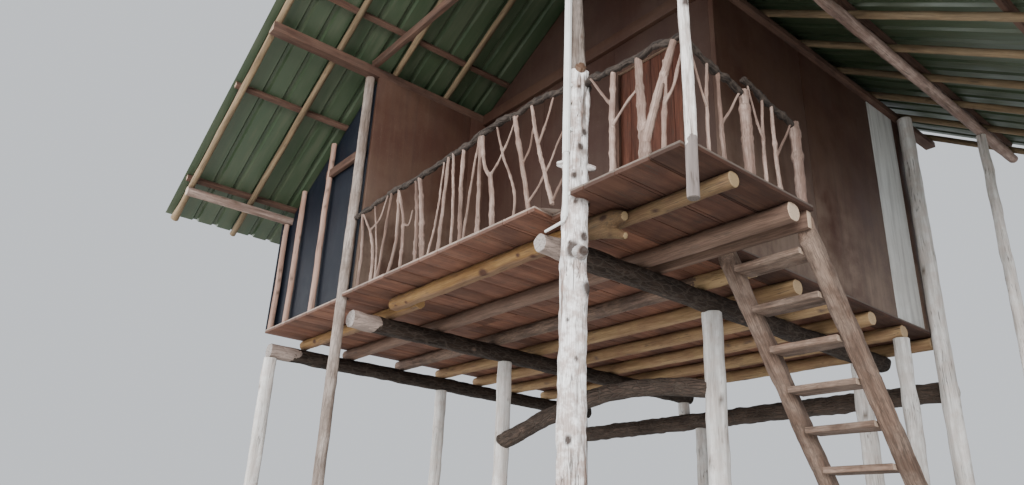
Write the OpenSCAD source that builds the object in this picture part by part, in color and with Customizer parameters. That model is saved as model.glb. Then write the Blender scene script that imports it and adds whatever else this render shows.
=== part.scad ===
// Tree house raised on natural log posts. A railed porch, a plank-walled room and a screened
// side bay stand on one log floor under one ribbed roof, and a log stair climbs to the porch.
// Millimetres, +Z up. The origin is on the ground under the middle of the roof, and the porch
// faces -Y.

/* [Room and porch] */
// Width of the room between its outer faces
room_w = 2880; // [2600:20:3400]
// Depth of the room behind the porch
room_d = 3060; // [2700:20:3600]
// Depth of the porch, from the front edge of the deck to the front wall
porch_d = 1370; // [1300:10:1700]
// Height of the floor above the ground
floor_z = 3500; // [3300:50:4200]
// Height of the walls, from the floor to the top of the plates
wall_h = 2270; // [2150:10:2500]
// Thickness of a wall
wall_t = 45; // [30:1:60]
// Depth of the wall plates
plate_d = 90; // [80:5:120]
// Depth of the tie beam that rests on the plates
tie_d = 80; // [70:5:90]
// Depth of the beam along the front wall
wall_beam_d = 120; // [90:5:140]
// Width of a wall plate
plate_w = 100; // [90:5:120]

/* [Door] */
// Width of the doorway between its jambs
door_w = 690; // [600:10:800]
// Height of the doorway
door_h = 1860; // [1700:10:2000]
// Distance from the doorway to the right face of the room
door_side = 300; // [260:10:500]
// Thickness of the door
door_t = 36; // [28:1:42]
// Clearance round the door
door_gap = 5; // [5:1:10]
// Face width of the door frame
jamb_w = 45; // [35:1:60]
// Depth of the door frame
jamb_d = 70; // [60:1:90]
// Radius of the hinge barrels
hinge_r = 8; // [7:0.5:10]
// Radius of the hinge pins
pin_r = 4; // [3:0.5:5]
// Length of one hinge barrel
knuckle_l = 40; // [30:1:60]
// Distance from the foot and the head of the doorway to the hinges
hinge_low = 260; // [150:10:400]
// Thickness of a hinge plate
plate_t = 3; // [2:0.5:5]
// Reach of a hinge plate from the pin
plate_reach = 38; // [30:1:42]

/* [Floor] */
// Thickness of the floor boards
board_t = 35; // [25:1:45]
// Width of a floor board
board_w = 250; // [150:10:300]
// Depth of the joint between two boards
joint_d = 6; // [4:1:10]
// Width of the joint between two boards
joint_w = 5; // [3:1:8]
// How far the boards reach past the left wall
deck_lip = 55; // [30:5:80]
// How far the landing reaches past the room
landing_w = 730; // [680:10:900]
// Depth of the landing, from the front edge of the deck
landing_d = 1185; // [1150:5:1250]

/* [Floor logs] */
// Depth of a joist between its hewn faces
joist_d = 110; // [90:5:130]
// Radius of a joist before hewing
joist_r = 62; // [60:1:74]
// Distance between the first three joists
joist_pitch = 650; // [560:10:700]
// Number of joists under the room, behind the first three
room_joists = 5; // [4:1:6]
// Distance from the front edge of the deck to the first joist
joist_first = 350; // [300:10:380]
// Radius of a girder log before hewing
girder_r = 80; // [75:1:95]
// Distance from a girder's axis to its hewn faces
girder_flat = 70; // [60:1:72]
// Distance from the right face of the room to the main girder
girder_in = 470; // [400:10:560]

/* [Posts] */
// Radius of the big front post
front_post_r = 85; // [75:1:100]
// Height of the big front post above the floor
front_post_top = 890; // [850:10:1050]
// Radius of the thinner pole on top of the front post
upper_pole_r = 52; // [45:1:60]
// Distance from the right face of the room to the front post
front_post_in = 190; // [170:5:240]
// Radius of the left corner post
corner_post_r = 50; // [45:1:60]
// Radius of the post at the right corner of the deck
newel_r = 33; // [28:1:40]
// How far the right corner post hangs below the floor
newel_drop = 330; // [200:10:450]
// Radius of the posts under the floor
under_post_r = 75; // [65:1:85]
// Radius of the rear corner post
rear_post_r = 80; // [70:1:85]

/* [Railing] */
// Height of the short rail posts of the side railing
rail_post_h = 570; // [520:10:640]
// Radius of the short rail posts
rail_post_r = 32; // [28:1:38]
// Radius of the gnarled top rail
rail_r = 20; // [16:1:26]
// Height of the top rail above the floor
rail_h = 780; // [700:10:900]

/* [Roof] */
// Slope of the roof in degrees
roof_pitch = 31; // [27:1:34]
// Overhang in front of the deck
front_overhang = 1035; // [800:5:1200]
// Overhang behind the room
rear_overhang = 735; // [600:5:900]
// Overhang beside the room
side_overhang = 2170; // [2120:10:2400]
// Diameter of a pole rafter
pole_d = 60; // [50:1:70]
// Number of pole rafters on each slope
poles = 11; // [9:1:13]
// Depth and width of a purlin
purlin_d = 50; // [40:1:60]
// Distance between two purlins, measured across the house
purlin_pitch = 1000; // [900:10:1040]
// Distance from the ridge to the first purlin
purlin_first = 110; // [90:5:140]
// Thickness of a roof sheet
sheet_t = 3; // [2:0.5:4]
// Height of a roof rib
rib_h = 26; // [20:1:32]
// Distance between two roof ribs
rib_pitch = 200; // [160:10:260]
// Width of a rib at its foot
rib_foot = 62; // [50:1:70]
// Width of a rib at its top
rib_top = 30; // [24:1:36]

/* [Side bay] */
// Distance from the left wall to the studs on the outer side of the bay
bay_w = 1655; // [1600:5:1700]
// Radius of a bay stud
stud_r = 30; // [24:1:36]
// Thickness of a screen sheet
screen_t = 6; // [4:1:10]

/* [Stair] */
// Steepness of the stair in degrees
stair_pitch = 55; // [50:1:62]
// Number of risers from the ground to the landing
risers = 15; // [13:1:17]
// Clear width between the stringers
stair_w = 460; // [400:10:500]
// Radius of a stringer log
stringer_r = 66; // [60:1:72]
// Thickness of a tread
tread_t = 40; // [30:1:50]
// Depth of a tread
tread_d = 180; // [140:5:220]

/* [Hidden] */

$fn = 32;
seat = 0.3;
far = 12000;
knot = 1.04;

// Plan of the room, the deck and the roof
roof_len = front_overhang + porch_d + room_d + rear_overhang;
roof_half = room_w / 2 + side_overhang;
front_y = front_overhang - roof_len / 2;
wall_y = front_y + porch_d;
rear_y = wall_y + room_d;
left_in = -room_w / 2;
left_out = left_in - wall_t;
right_out = room_w / 2;
right_in = right_out - wall_t;
deck_left = left_out - deck_lip;
deck_right = right_out + landing_w;
room_lip = 30;
landing_y = front_y + landing_d;
verge_y = roof_len / 2;

// Heights
plate_top = floor_z + wall_h;
wall_top = plate_top - plate_d;
joist_top = floor_z - board_t;
joist_bottom = joist_top - joist_d;
girder_z = joist_bottom - girder_flat;
girder_bottom = girder_z - girder_flat;

// Places of the posts and girders
girder_x = right_out - girder_in;
left_girder_x = left_out + 25;
post_line_y = front_y + 30;
front_post = [right_out - front_post_in, front_y + 25 + front_post_r];
corner_post = [left_out - 45, post_line_y];
newel = [deck_right - 5, front_y + 45];
rear_post = [right_out + rear_post_r + 6, rear_y - 75];
mid_y = wall_y + 0.134 * room_d;
rear_line_y = rear_y + 50;
main_rear_y = rear_y - 0.168 * room_d;
bay_x = left_out - bay_w;
bay_mid_y = wall_y + 0.27 * room_d;
rail_y = front_y + 40;
rail_in_y = rail_y + 30;
side_rail_x = deck_right - 42;
side_start_y = rail_y + 2 * rail_r + 5;
side_rail_y = (newel[1] + landing_y) / 2;
landing_end_y = landing_y - 42;

// The doorway
door_x1 = right_out - door_side;
door_x0 = door_x1 - door_w;
door_top = floor_z + door_h;
jamb_y = wall_y + wall_t - jamb_d;
leaf_y1 = wall_y + wall_t;
leaf_y0 = leaf_y1 - door_t;
hinge_x = door_x1 - door_gap / 2;
hinge_y = leaf_y1 + hinge_r + 1;
leaf_x1 = door_x1 - door_gap;
leaf_x0 = hinge_x - sqrt(pow(hinge_x - door_x0 - door_gap, 2) - pow(hinge_y - leaf_y0, 2));
leaf_z0 = floor_z + door_gap + 3;
leaf_z1 = door_top - door_gap;
stop_t = 15;
pin_play = 0.3;
knuckle_gap = 0.5;

// The roof planes: h is measured square to the slope, from the underside of the pole rafters
function roof_z(x, h) = plate_top + (room_w / 2 - abs(x)) * tan(roof_pitch) + h / cos(roof_pitch);
ridge_z = roof_z(0, 0);
purlin_h = pole_d + 2 * seat;
sheet_h = purlin_h + purlin_d;
ridge_w = 80;
ridge_d = 150;
beam_r = 45;
pipe_r = 11;

// The stair line
rise = floor_z / risers;
run = rise / tan(stair_pitch);
stair_x = (right_out + room_lip + deck_right) / 2 + 5;
stair_slope = rise / run;
function stair_axis_z(y) = floor_z - tread_t / 2 - (y - landing_y + run / 2) * stair_slope;

// Natural timber: a round limb through stations [x, y, z, radius], with an uneven skin
function unit(v) = v / norm(v);
function place(s) = [s[0], s[1], s[2]];
function skin(i, j, rough) = 1 + rough * sin(137 * i + 91 * j) * cos(53 * i - 71 * j);
function ring(s, dir, ref, i, sides, rough) =
    let (a = unit(cross(ref, dir)), b = cross(dir, a))
    [for (j = [0 : sides - 1])
        place(s) + s[3] * skin(i, j, rough) * (cos(360 * j / sides) * a + sin(360 * j / sides) * b)];

module limb(path, sides = 6, rough = 0.06) {
    last = len(path) - 1;
    whole = unit(place(path[last]) - place(path[0]));
    ref = abs(whole[2]) > 0.7 ? [0, 1, 0] : [0, 0, 1];
    points = [for (i = [0 : last])
        let (dir = unit(place(path[min(i + 1, last)]) - place(path[max(i - 1, 0)])))
        each ring(path[i], dir, ref, i, sides, rough)];
    walls = [for (i = [0 : last - 1]) for (j = [0 : sides - 1])
        let (k = (j + 1) % sides, low = i * sides, high = low + sides)
        each [[low + j, high + j, high + k], [low + j, high + k, low + k]]];
    cap_low = [for (j = [0 : sides - 1]) j];
    cap_high = [for (j = [sides - 1 : -1 : 0]) last * sides + j];
    polyhedron(points = points, faces = concat([cap_low], walls, [cap_high]), convexity = 6);
}

// A nearly straight log from a to b that wanders by a few millimetres
function log_path(a, b, ra, rb, steps, wander, turn) =
    [for (i = [0 : steps])
        let (t = i / steps, free = sin(180 * t), p = a + (b - a) * t,
             sway = wander * free * sin(360 * t + turn), nod = wander * free * cos(250 * t + turn))
        [p[0] + (abs(b[0] - a[0]) > abs(b[2] - a[2]) ? 0 : sway),
         p[1] + (abs(b[1] - a[1]) > abs(b[2] - a[2]) ? 0 : nod),
         p[2] + (abs(b[2] - a[2]) > norm([b[0] - a[0], b[1] - a[1]]) ? 0 : nod / 2),
         ra + (rb - ra) * t]];

module log(a, b, ra, rb, steps = 7, wander = 8, turn = 0, sides = 12) {
    limb(log_path(a, b, ra, rb, steps, wander, turn), sides, 0.04);
}

// Space below or above a level, for seats and for feet
module below(z) {
    translate([-far / 2, -far / 2, z - far]) cube([far, far, far]);
}

module above(z) {
    translate([-far / 2, -far / 2, z]) cube([far, far, far]);
}

// A standing post that is cut flat at both ends
module post(x, y, z0, z1, r0, r1, turn = 0, wander = 8) {
    difference() {
        log([x, y, z0 - 20], [x, y, z1 + 20], r0, r1, 8, wander, turn);
        below(z0);
        above(z1);
    }
}

module box(low, high) {
    translate(low) cube(high - low);
}

// Floor boards with open joints, laid along Y between two corners
module boards(x0, y0, x1, y1) {
    count = max(1, round((x1 - x0) / board_w));
    pitch = (x1 - x0) / count;
    difference() {
        box([x0, y0, joist_top], [x1, y1, floor_z]);
        for (i = [1 : count - 1]) {
            box([x0 + i * pitch - joint_w / 2, y0 - 1, joist_top - 1],
                [x0 + i * pitch + joint_w / 2, y1 + 1, joist_top + joint_d]);
            box([x0 + i * pitch - joint_w / 2, y0 - 1, floor_z - joint_d],
                [x0 + i * pitch + joint_w / 2, y1 + 1, floor_z + 1]);
        }
    }
}

module upright(p, r) {
    translate([p[0], p[1], 0]) cylinder(r = r, h = 2 * floor_z);
}

// Posts

module front_log() {
    post(front_post[0], front_post[1], 0, floor_z + front_post_top, front_post_r,
        front_post_r * 0.94, 40, 6);
}

// The upper pole leans forward until its head bears under the tie beam
pole_lean = 17;
pole_back = 45;

module upper_log() {
    foot_z = floor_z + front_post_top;
    difference() {
        log([front_post[0] + 8, front_post[1] + 5, foot_z - 20],
            [front_post[0] - pole_lean, post_line_y + pole_back, plate_top + 20], upper_pole_r,
            upper_pole_r * 0.9, 7, 5, 150);
        below(foot_z);
        above(plate_top);
    }
}

module front_post() {
    color("gainsboro") front_log();
}

module front_post_upper() {
    color("rosybrown") upper_log();
}

// The corner post is notched under the plate and rises beside it
module left_corner_post() {
    head_z = roof_z(corner_post[0] - corner_post_r * knot, 0) - seat;
    color("darkgray")
        difference() {
            post(corner_post[0], corner_post[1], 0, head_z, corner_post_r, corner_post_r * 0.9, 80, 5);
            box([left_in - plate_w - seat, front_y - corner_post_r, wall_top], [0, wall_y, ridge_z]);
        }
}

newel_top = roof_z(newel[0], -beam_r) - beam_r - seat;

module right_corner_post() {
    color("lightgray")
        post(newel[0], newel[1], floor_z - newel_drop, newel_top, newel_r, newel_r * 0.9, 10, 4);
}

module post_e() {
    post(girder_x, mid_y, 0, girder_bottom, under_post_r + 5, under_post_r, 30);
}

module post_f() {
    post(left_girder_x, mid_y, 0, girder_bottom, under_post_r, under_post_r - 5, 120);
}

module under_floor_posts() {
    thin = under_post_r - 10;
    color("burlywood") {
        post_e();
        post_f();
        post(girder_x, main_rear_y, 0, girder_bottom, under_post_r + 5, under_post_r, 200);
        post(left_in + 210, rear_line_y, 0, beam_bottom, under_post_r - 5, thin, 60);
        post(right_out - 40, joist_y(6), 0, joist_bottom, thin, thin, 90);
        for (y = [front_y + 120, bay_mid_y])
            post(bay_x, y, 0, girder_bottom, thin, thin, 70 + y / 10);
        post(bay_x, rear_line_y, 0, beam_bottom, under_post_r - 5, thin, 140);
        for (x = [left_girder_x, bay_x])
            post(x, rear_line_y, beam_top, girder_bottom, thin, thin, 20, 2);
    }
}

module corner_log() {
    post(rear_post[0], rear_post[1], 0, wall_top, rear_post_r, rear_post_r * 0.85, 60, 4);
}

module rear_posts() {
    color("lightgray") {
        corner_log();
        post(newel[0], rear_post[1], 0, newel_top, under_post_r - 15, 40, 110, 4);
    }
}

// Logs under the floor

beam_fall = 295;
beam_axis_z = girder_z - beam_fall;
rear_beam_r = 100;
beam_flat = 85;
beam_top = beam_axis_z + beam_flat;
beam_bottom = beam_axis_z - beam_flat;

module rear_log_beam() {
    color("saddlebrown")
        difference() {
            log([bay_x - 160, rear_line_y, beam_axis_z], [rear_post[0], rear_line_y, beam_axis_z],
                rear_beam_r, rear_beam_r * 0.95, 8, 6, 30);
            below(beam_bottom);
            above(beam_top);
            corner_log();
        }
}

// How far the arched log springs below the girders, and how far it rises
arch_fall = 830;
arch_rise = 260;

module arched_log() {
    spring_z = girder_z - arch_fall;
    color("saddlebrown")
        difference() {
            limb([for (i = [0 : 9])
                let (t = i / 9, x = left_girder_x + 20 + (girder_x - left_girder_x - 40) * t)
                [x, mid_y + 10 * sin(300 * t), spring_z + arch_rise * sin(150 * t) + 60 * t, 74 - 8 * t]],
                12, 0.05);
            post_e();
            post_f();
        }
}

// A girder log whose front end has the share tip of its full radius
module girder(x, y0, y1, tip) {
    difference() {
        limb([[x, y0, girder_z, girder_r * tip],
            [x, y0 + 150, girder_z, girder_r * (1 + tip) / 2], [x, y0 + 240, girder_z, girder_r],
            for (t = [0.25 : 0.15 : 1])
                [x + 5 * sin(400 * t), y0 + (y1 - y0) * t, girder_z,
                 girder_r * (1 + 0.04 * sin(900 * t))]],
            12, 0.03);
        above(joist_bottom);
        below(girder_bottom);
    }
}

module main_girder_log() {
    color("sienna") girder(girder_x, front_y + 75, rear_y - 60, 0.72);
}

module side_girder_logs() {
    color("sienna") {
        difference() {
            girder(left_girder_x, front_y + 90, rear_line_y + 90, 0.97);
            upright(corner_post, corner_post_r * knot + seat);
        }
        girder(bay_x, front_y + 90, rear_line_y + 90, 0.97);
    }
}

module joist(x0, x1, y, turn) {
    difference() {
        log([x0, y, joist_top - joist_d / 2], [x1, y, joist_top - joist_d / 2], joist_r,
            joist_r * 1.02, 8, 4, turn);
        above(joist_top);
        below(joist_bottom);
    }
}

third_y = front_y + joist_first + 2 * joist_pitch;
function joist_y(i) = i < 3
    ? front_y + joist_first + i * joist_pitch
    : third_y + (i - 2) * (rear_y - 40 - third_y) / room_joists;
joist_left = bay_x - 80;
splice_x = girder_x + 15;
fork_x = splice_x + 300;
fork_r = 75;
fork_cut = 100;
landing_joist_r = 48;
landing_joist_y = joist_y(0) + 72;
joist_butt = left_in + 240;
lap_l = 200;
lap_r = 52;

// The front joist starts beside the bay's thinner joist and the two lap
module front_joist() {
    color("khaki") {
        joist(joist_butt, splice_x - seat, joist_y(0), 10);
        difference() {
            log([joist_left, joist_y(0) + joist_r + lap_r + 14, joist_top - lap_r * 0.94],
                [joist_butt + lap_l, joist_y(0) + joist_r + lap_r + 14, joist_top - lap_r * 0.94],
                lap_r, lap_r, 6, 4, 30);
            above(joist_top);
            below(joist_bottom);
        }
    }
}

// A limb that swells at its fork: the upper prong is a stub and the lower one droops
module fork_log() {
    y = joist_y(0);
    z = joist_top - joist_d / 2;
    difference() {
        union() {
            limb([[splice_x - 40, y, z, joist_r], [splice_x + 90, y - 2, z - 2, joist_r * 1.06],
                [fork_x - 100, y - 4, z - 12, fork_r], [fork_x, y - 6, z - 16, fork_r],
                [fork_x + 75, y - 12, z - 4, fork_r * 0.8], [fork_x + 125, y - 16, z - 8, fork_r * 0.58],
                [fork_x + 160, y - 18, z - 16, fork_r * 0.4]], 12, 0.03);
            limb([[fork_x - 110, y - 4, z - 28, fork_r * 0.7], [fork_x, y - 8, z - 62, fork_r * 0.64],
                [fork_x + 75, y - 12, z - 100, fork_r * 0.48],
                [fork_x + 163, y - 16, z - 146, fork_r * 0.3]], 12, 0.03);
        }
        above(joist_top);
        translate([splice_x - fork_cut, -far / 2, joist_bottom - far]) cube([fork_cut + 60, far, far]);
        translate([splice_x - fork_cut, -far / 2, 0]) cube([fork_cut, far, far]);
    }
}

module forked_joist_splice() {
    color("khaki") fork_log();
}

module landing_joists() {
    z = joist_top - landing_joist_r * 0.94;
    color("khaki") {
        difference() {
            limb([[fork_x + 30, landing_joist_y - 22, z - 6, landing_joist_r * 0.4],
                [fork_x + 120, landing_joist_y - 8, z - 3, landing_joist_r * 0.9],
                [fork_x + 260, landing_joist_y, z, landing_joist_r],
                [deck_right - 20, landing_joist_y + 4, z, landing_joist_r * 1.02]], 12, 0.03);
            above(joist_top);
            fork_log();
        }
        box([girder_x - 60, landing_y - wall_t, joist_bottom], [deck_right - 20, landing_y, joist_top]);
    }
}

module floor_joists() {
    color("tan") {
        joist(joist_left, deck_right - 20, joist_y(1), 60);
        for (i = [2 : 2 + room_joists])
            joist(joist_left, right_out - seat, joist_y(i), 90 * i);
    }
}

// Floors

module porch_deck() {
    notch_y = front_y + 170;
    notch_x1 = front_post[0] + 70;
    color("indianred")
        difference() {
            union() {
                boards(deck_left, front_y, right_out + room_lip, wall_y);
                boards(right_out + room_lip, front_y, deck_right, landing_y);
            }
            upright(front_post, front_post_r * knot + 1);
            upright(corner_post, corner_post_r * knot + 1);
            translate([0, 0, joist_top - 1])
                linear_extrude(height = board_t + 2)
                    polygon([[front_post[0] - 250, front_y - 1], [front_post[0] - 275, notch_y],
                        [notch_x1, notch_y], [notch_x1, front_y - 1]]);
            box([newel[0] - newel_r * knot - 1, front_y - 1, joist_top - 1],
                [deck_right + 1, newel[1] + newel_r * knot + 1, floor_z + 1]);
        }
}

module room_floor() {
    color("indianred")
        difference() {
            boards(deck_left, wall_y, right_out + room_lip, rear_y + room_lip);
            upright(rear_post, rear_post_r * knot + 1);
        }
}

module bay_floor() {
    color("indianred")
        difference() {
            boards(bay_x - 50, front_y + 40, deck_left, rear_y + room_lip);
            upright(corner_post, corner_post_r * knot + 1);
        }
}

// Railings. A stick is a list of [percent of the bay, percent of the rail height] from its foot
// up, with the radius at its foot and at its head; a rail is [percent of the bay, share of rail_h].

function rail_share(rail, u, i = 0) =
    i + 2 > len(rail) - 1 || u <= rail[i + 1][0]
        ? rail[i][1] + (rail[i + 1][1] - rail[i][1]) * (u - rail[i][0]) / (rail[i + 1][0] - rail[i][0])
        : rail_share(rail, u, i + 1);

module railing_bay(from, to, rail, sticks) {
    along = unit([to[0] - from[0], to[1] - from[1]]);
    span = norm([to[0] - from[0], to[1] - from[1]]);
    out = [along[1], -along[0]];
    function at(u, z, r, side) =
        [from[0] + along[0] * span * u / 100 + out[0] * side,
         from[1] + along[1] * span * u / 100 + out[1] * side, floor_z + z, r];
    difference() {
        union() {
            limb([for (i = [0 : len(rail) - 1])
                at(rail[i][0], rail[i][1] * rail_h, rail_r * (1 - 0.12 * (i % 2)), 5 * sin(140 * i))],
                8, 0.08);
            for (s = sticks)
                limb([for (i = [0 : len(s[0]) - 1])
                    let (u = s[0][i][0], v = s[0][i][1], t = i / (len(s[0]) - 1))
                    at(u, v < 0 ? v : v / 100 * rail_share(rail, u) * rail_h,
                        s[1] + (s[2] - s[1]) * t, 3 * sin(200 * i + u))],
                    6, 0.05);
        }
        below(floor_z);
        upright(front_post, front_post_r * knot + 1);
        upright(corner_post, corner_post_r * knot + 1);
        upright(newel, newel_r * knot + 1);
        for (p = [[side_rail_x, side_rail_y], [side_rail_x, landing_end_y]])
            upright(p, rail_post_r * knot + 1);
    }
}

left_bay_rail = [[0, 0.9], [12, 0.93], [25, 0.98], [33, 0.95], [40, 0.96], [54, 1.01], [60, 1],
    [66, 1.04], [75, 1.06], [81, 1.04], [88, 1.06], [94, 1.02], [100, 1]];

left_bay_sticks = [
    [[[8, -20], [8, 50], [6, 100]], 14, 12],
    [[[16, -20], [15, 40], [12, 70]], 14, 12], [[[12, 68], [9, 84], [6.5, 99]], 10, 8],
    [[[12, 68], [17, 76], [21, 99]], 10, 8],
    [[[18, -20], [17.5, 32], [13.5, 98]], 9, 7],
    [[[19, -20], [20, 20], [23, 99]], 13, 11],
    [[[25, -20], [28, 37], [27, 98]], 15, 12],
    [[[32, -20], [31, 56], [27, 97]], 14, 11], [[[31, 54], [34, 50], [36, 64]], 9, 7],
    [[[39.5, -20], [38, 55], [36, 100]], 15, 13],
    [[[43, -20], [40, 64], [38, 100]], 21, 17],
    [[[45, -20], [48, 40], [50, 100]], 9, 7],
    [[[50, -20], [50.5, 33], [52, 100]], 15, 12],
    [[[56, -20], [55.5, 40], [54, 100]], 12, 10],
    [[[60, -20], [58.5, 60], [59, 100]], 16, 14],
    [[[61, -20], [63, 57], [65.5, 98]], 10, 8],
    [[[67, -20], [66.5, 35], [66, 99]], 16, 13],
    [[[73, -20], [72, 30], [71, 55]], 19, 17], [[[71, 52], [68, 68], [67, 98]], 14, 12],
    [[[71, 52], [75, 66], [81, 98]], 9, 7],
    [[[81, -20], [80.5, 28], [76, 64], [72.5, 98]], 10, 8],
    [[[86, -20], [85.5, 14], [79.7, 98]], 18, 15],
    [[[83, 45], [85.5, 58], [87, 75]], 9, 7],
    [[[94.5, -20], [88.8, 57], [86, 98]], 14, 12],
    [[[88.8, 56], [91, 74], [94, 98]], 9, 7],
    [[[86, 10], [91, 28], [98.5, 68]], 8, 7],
    [[[93.5, -20], [98.5, 26]], 9, 7]
];

right_bay_rail = [[0, 1], [10, 0.96], [24, 0.94], [40, 0.9], [52, 0.91], [64, 0.88], [76, 0.89],
    [88, 0.86], [100, 0.84]];

right_bay_sticks = [
    [[[39.5, -20], [38.5, 51], [40.5, 99]], 19, 16],
    [[[39, 66], [31, 78], [19, 99]], 10, 8],
    [[[39, 46], [46, 56], [60, 68]], 9, 7],
    [[[66, -20], [66, 12], [66, 24]], 36, 30],
    [[[66, 12], [63.5, 55], [62.5, 99]], 27, 22],
    [[[66, 12], [76, 50], [92, 99]], 25, 21],
    [[[81, -20], [81, 19], [83, 46]], 15, 13],
    [[[83, 42], [84, 60], [83, 84]], 10, 8],
    [[[83, 42], [90, 58], [97, 84]], 10, 8]
];

side_bay_rail = [[0, 0.84], [22, 0.8], [46, 0.76], [70, 0.73], [100, 0.69]];

side_bay_sticks = [
    [[[30, -20], [32, 50], [35, 99]], 11, 9],
    [[[31, 50], [20, 72], [8, 99]], 8, 6],
    [[[56, -20], [55, 50], [53, 99]], 13, 11],
    [[[56, 44], [70, 62], [92, 99]], 9, 7]
];

module front_left_railing() {
    color("rosybrown")
        railing_bay([corner_post[0], rail_y], [front_post[0], rail_in_y], left_bay_rail,
            left_bay_sticks);
}

module front_right_railing() {
    color("rosybrown")
        railing_bay([front_post[0], rail_in_y], [newel[0], rail_y], right_bay_rail,
            right_bay_sticks);
}

module side_railing() {
    color("rosybrown") {
        for (y = [side_rail_y, landing_end_y])
            post(side_rail_x, y, floor_z, floor_z + rail_post_h, rail_post_r, rail_post_r * 0.95,
                y / 10, 2);
        railing_bay([side_rail_x, side_start_y], [side_rail_x, side_rail_y], side_bay_rail,
            side_bay_sticks);
        railing_bay([side_rail_x, side_rail_y], [side_rail_x, landing_end_y], side_bay_rail,
            side_bay_sticks);
    }
}

// Walls

module front_wall_left() {
    color("rosybrown")
        box([left_in, wall_y, floor_z], [door_x0 - jamb_w, wall_y + wall_t, wall_top]);
}

module front_wall_right() {
    color("rosybrown")
        box([door_x1 + jamb_w, wall_y, floor_z], [right_in, wall_y + wall_t, wall_top]);
}

module front_wall_over_door() {
    color("rosybrown")
        box([door_x0 - jamb_w, wall_y, door_top + jamb_w],
            [door_x1 + jamb_w, wall_y + wall_t, wall_top]);
}

module left_wall() {
    color("rosybrown")
        box([left_out, corner_post[1] + corner_post_r * knot + 1, floor_z],
            [left_in, rear_y, wall_top]);
}

module right_wall() {
    color("rosybrown") box([right_in, wall_y, floor_z], [right_out, rear_y, wall_top]);
}

module rear_wall() {
    color("rosybrown") box([left_in, rear_y - wall_t, floor_z], [right_in, rear_y, wall_top]);
}

plate_left_x1 = left_in;
plate_left_x0 = left_in - plate_w;
plate_right_x0 = right_in;
plate_right_x1 = right_in + plate_w;

module gables() {
    notch = ridge_w / 2;
    color("rosybrown")
        for (y = [wall_y + wall_t, rear_y])
            translate([0, y, 0])
                rotate([90, 0, 0])
                    linear_extrude(height = wall_t)
                        polygon([[plate_left_x1, wall_top], [plate_right_x0, wall_top],
                            [plate_right_x0, roof_z(plate_right_x0, 0)],
                            [notch, roof_z(notch, 0)], [notch, ridge_z - ridge_d],
                            [-notch, ridge_z - ridge_d], [-notch, roof_z(notch, 0)],
                            [plate_left_x1, roof_z(plate_left_x1, 0)]]);
}

module side_plate(x0, x1) {
    translate([0, verge_y - 40, 0])
        rotate([90, 0, 0])
            linear_extrude(height = 2 * verge_y - 80)
                polygon([[x0, wall_top], [x1, wall_top], [x1, roof_z(x1, 0)], [x0, roof_z(x0, 0)]]);
}

module wall_plates() {
    color("brown") {
        side_plate(plate_left_x0, plate_left_x1);
        side_plate(plate_right_x0, plate_right_x1);
    }
}

tie_t = 45;
tie_reach = 60;

// The tie beam sits on the plates with a sloping seat at each end
module cross_beams() {
    c = room_w / 2;
    e = c + tie_reach;
    stop = plate_right_x0 - seat;
    color("brown") {
        translate([0, post_line_y + tie_t / 2, 0])
            rotate([90, 0, 0])
                linear_extrude(height = tie_t)
                    polygon([[-e, roof_z(e, 0)], [-c, plate_top], [stop, plate_top],
                        [stop, roof_z(stop, 0)], [e, roof_z(e, 0)], [e, plate_top + tie_d],
                        [-e, plate_top + tie_d]]);
        box([plate_left_x1, wall_y - tie_t, plate_top - wall_beam_d],
            [plate_right_x0, wall_y, plate_top - seat]);
    }
}

// The door and its frame

module door_frame() {
    stop_y = leaf_y0 - door_gap - stop_t;
    color("saddlebrown")
        difference() {
            box([door_x0 - jamb_w, jamb_y, floor_z], [door_x1 + jamb_w, leaf_y1, door_top + jamb_w]);
            box([door_x0, stop_y + stop_t, floor_z - 1], [door_x1, leaf_y1 + 1, door_top]);
            box([door_x0 + stop_t, jamb_y - 1, floor_z - 1],
                [door_x1 - stop_t, leaf_y1 + 1, door_top - stop_t]);
        }
}

module door() {
    color("firebrick") box([leaf_x0, leaf_y0, leaf_z0], [leaf_x1, leaf_y1, leaf_z1]);
}

hinge_heights = [floor_z + hinge_low, door_top - hinge_low - 2 * knuckle_l];

module hinge_pins() {
    color("dimgray")
        for (z = hinge_heights)
            translate([hinge_x, hinge_y, z]) {
                cylinder(r = hinge_r, h = knuckle_l);
                cylinder(r = pin_r, h = 2 * knuckle_l);
                translate([0, leaf_y1 - hinge_y, 0]) cube([plate_reach, plate_t, knuckle_l]);
            }
}

module hinge_knuckles() {
    length = knuckle_l - knuckle_gap;
    color("dimgray")
        for (z = hinge_heights)
            translate([hinge_x, hinge_y, z + knuckle_l + knuckle_gap])
                difference() {
                    union() {
                        cylinder(r = hinge_r, h = length);
                        translate([-plate_reach, leaf_y1 - hinge_y, 0])
                            cube([plate_reach, plate_t, length]);
                    }
                    translate([0, 0, -1]) cylinder(r = pin_r + pin_play, h = length + 2);
                }
}

// Roof

module slope(side) {
    mirror([side < 0 ? 1 : 0, 0, 0])
        translate([0, 0, ridge_z])
            rotate([0, roof_pitch, 0])
                children();
}

slope_len = roof_half / cos(roof_pitch);
pole_inset = 85;
pole_pitch = (roof_len - 2 * pole_inset) / (poles - 1);

module pole_rafters() {
    color("peru")
        for (side = [-1, 1])
            slope(side)
                for (i = [0 : poles - 1])
                    translate([6, -verge_y + pole_inset + i * pole_pitch, pole_d / 2 + seat])
                        rotate([0, 90, 0])
                            cylinder(d = pole_d, h = slope_len - 90);
}

module purlins() {
    color("brown")
        for (side = [-1, 1])
            slope(side)
                for (i = [0 : 3])
                    translate([(purlin_first + i * purlin_pitch) / cos(roof_pitch) - purlin_d / 2,
                        -verge_y + 20, purlin_h])
                        cube([purlin_d, roof_len - 40, purlin_d - seat]);
}

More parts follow.
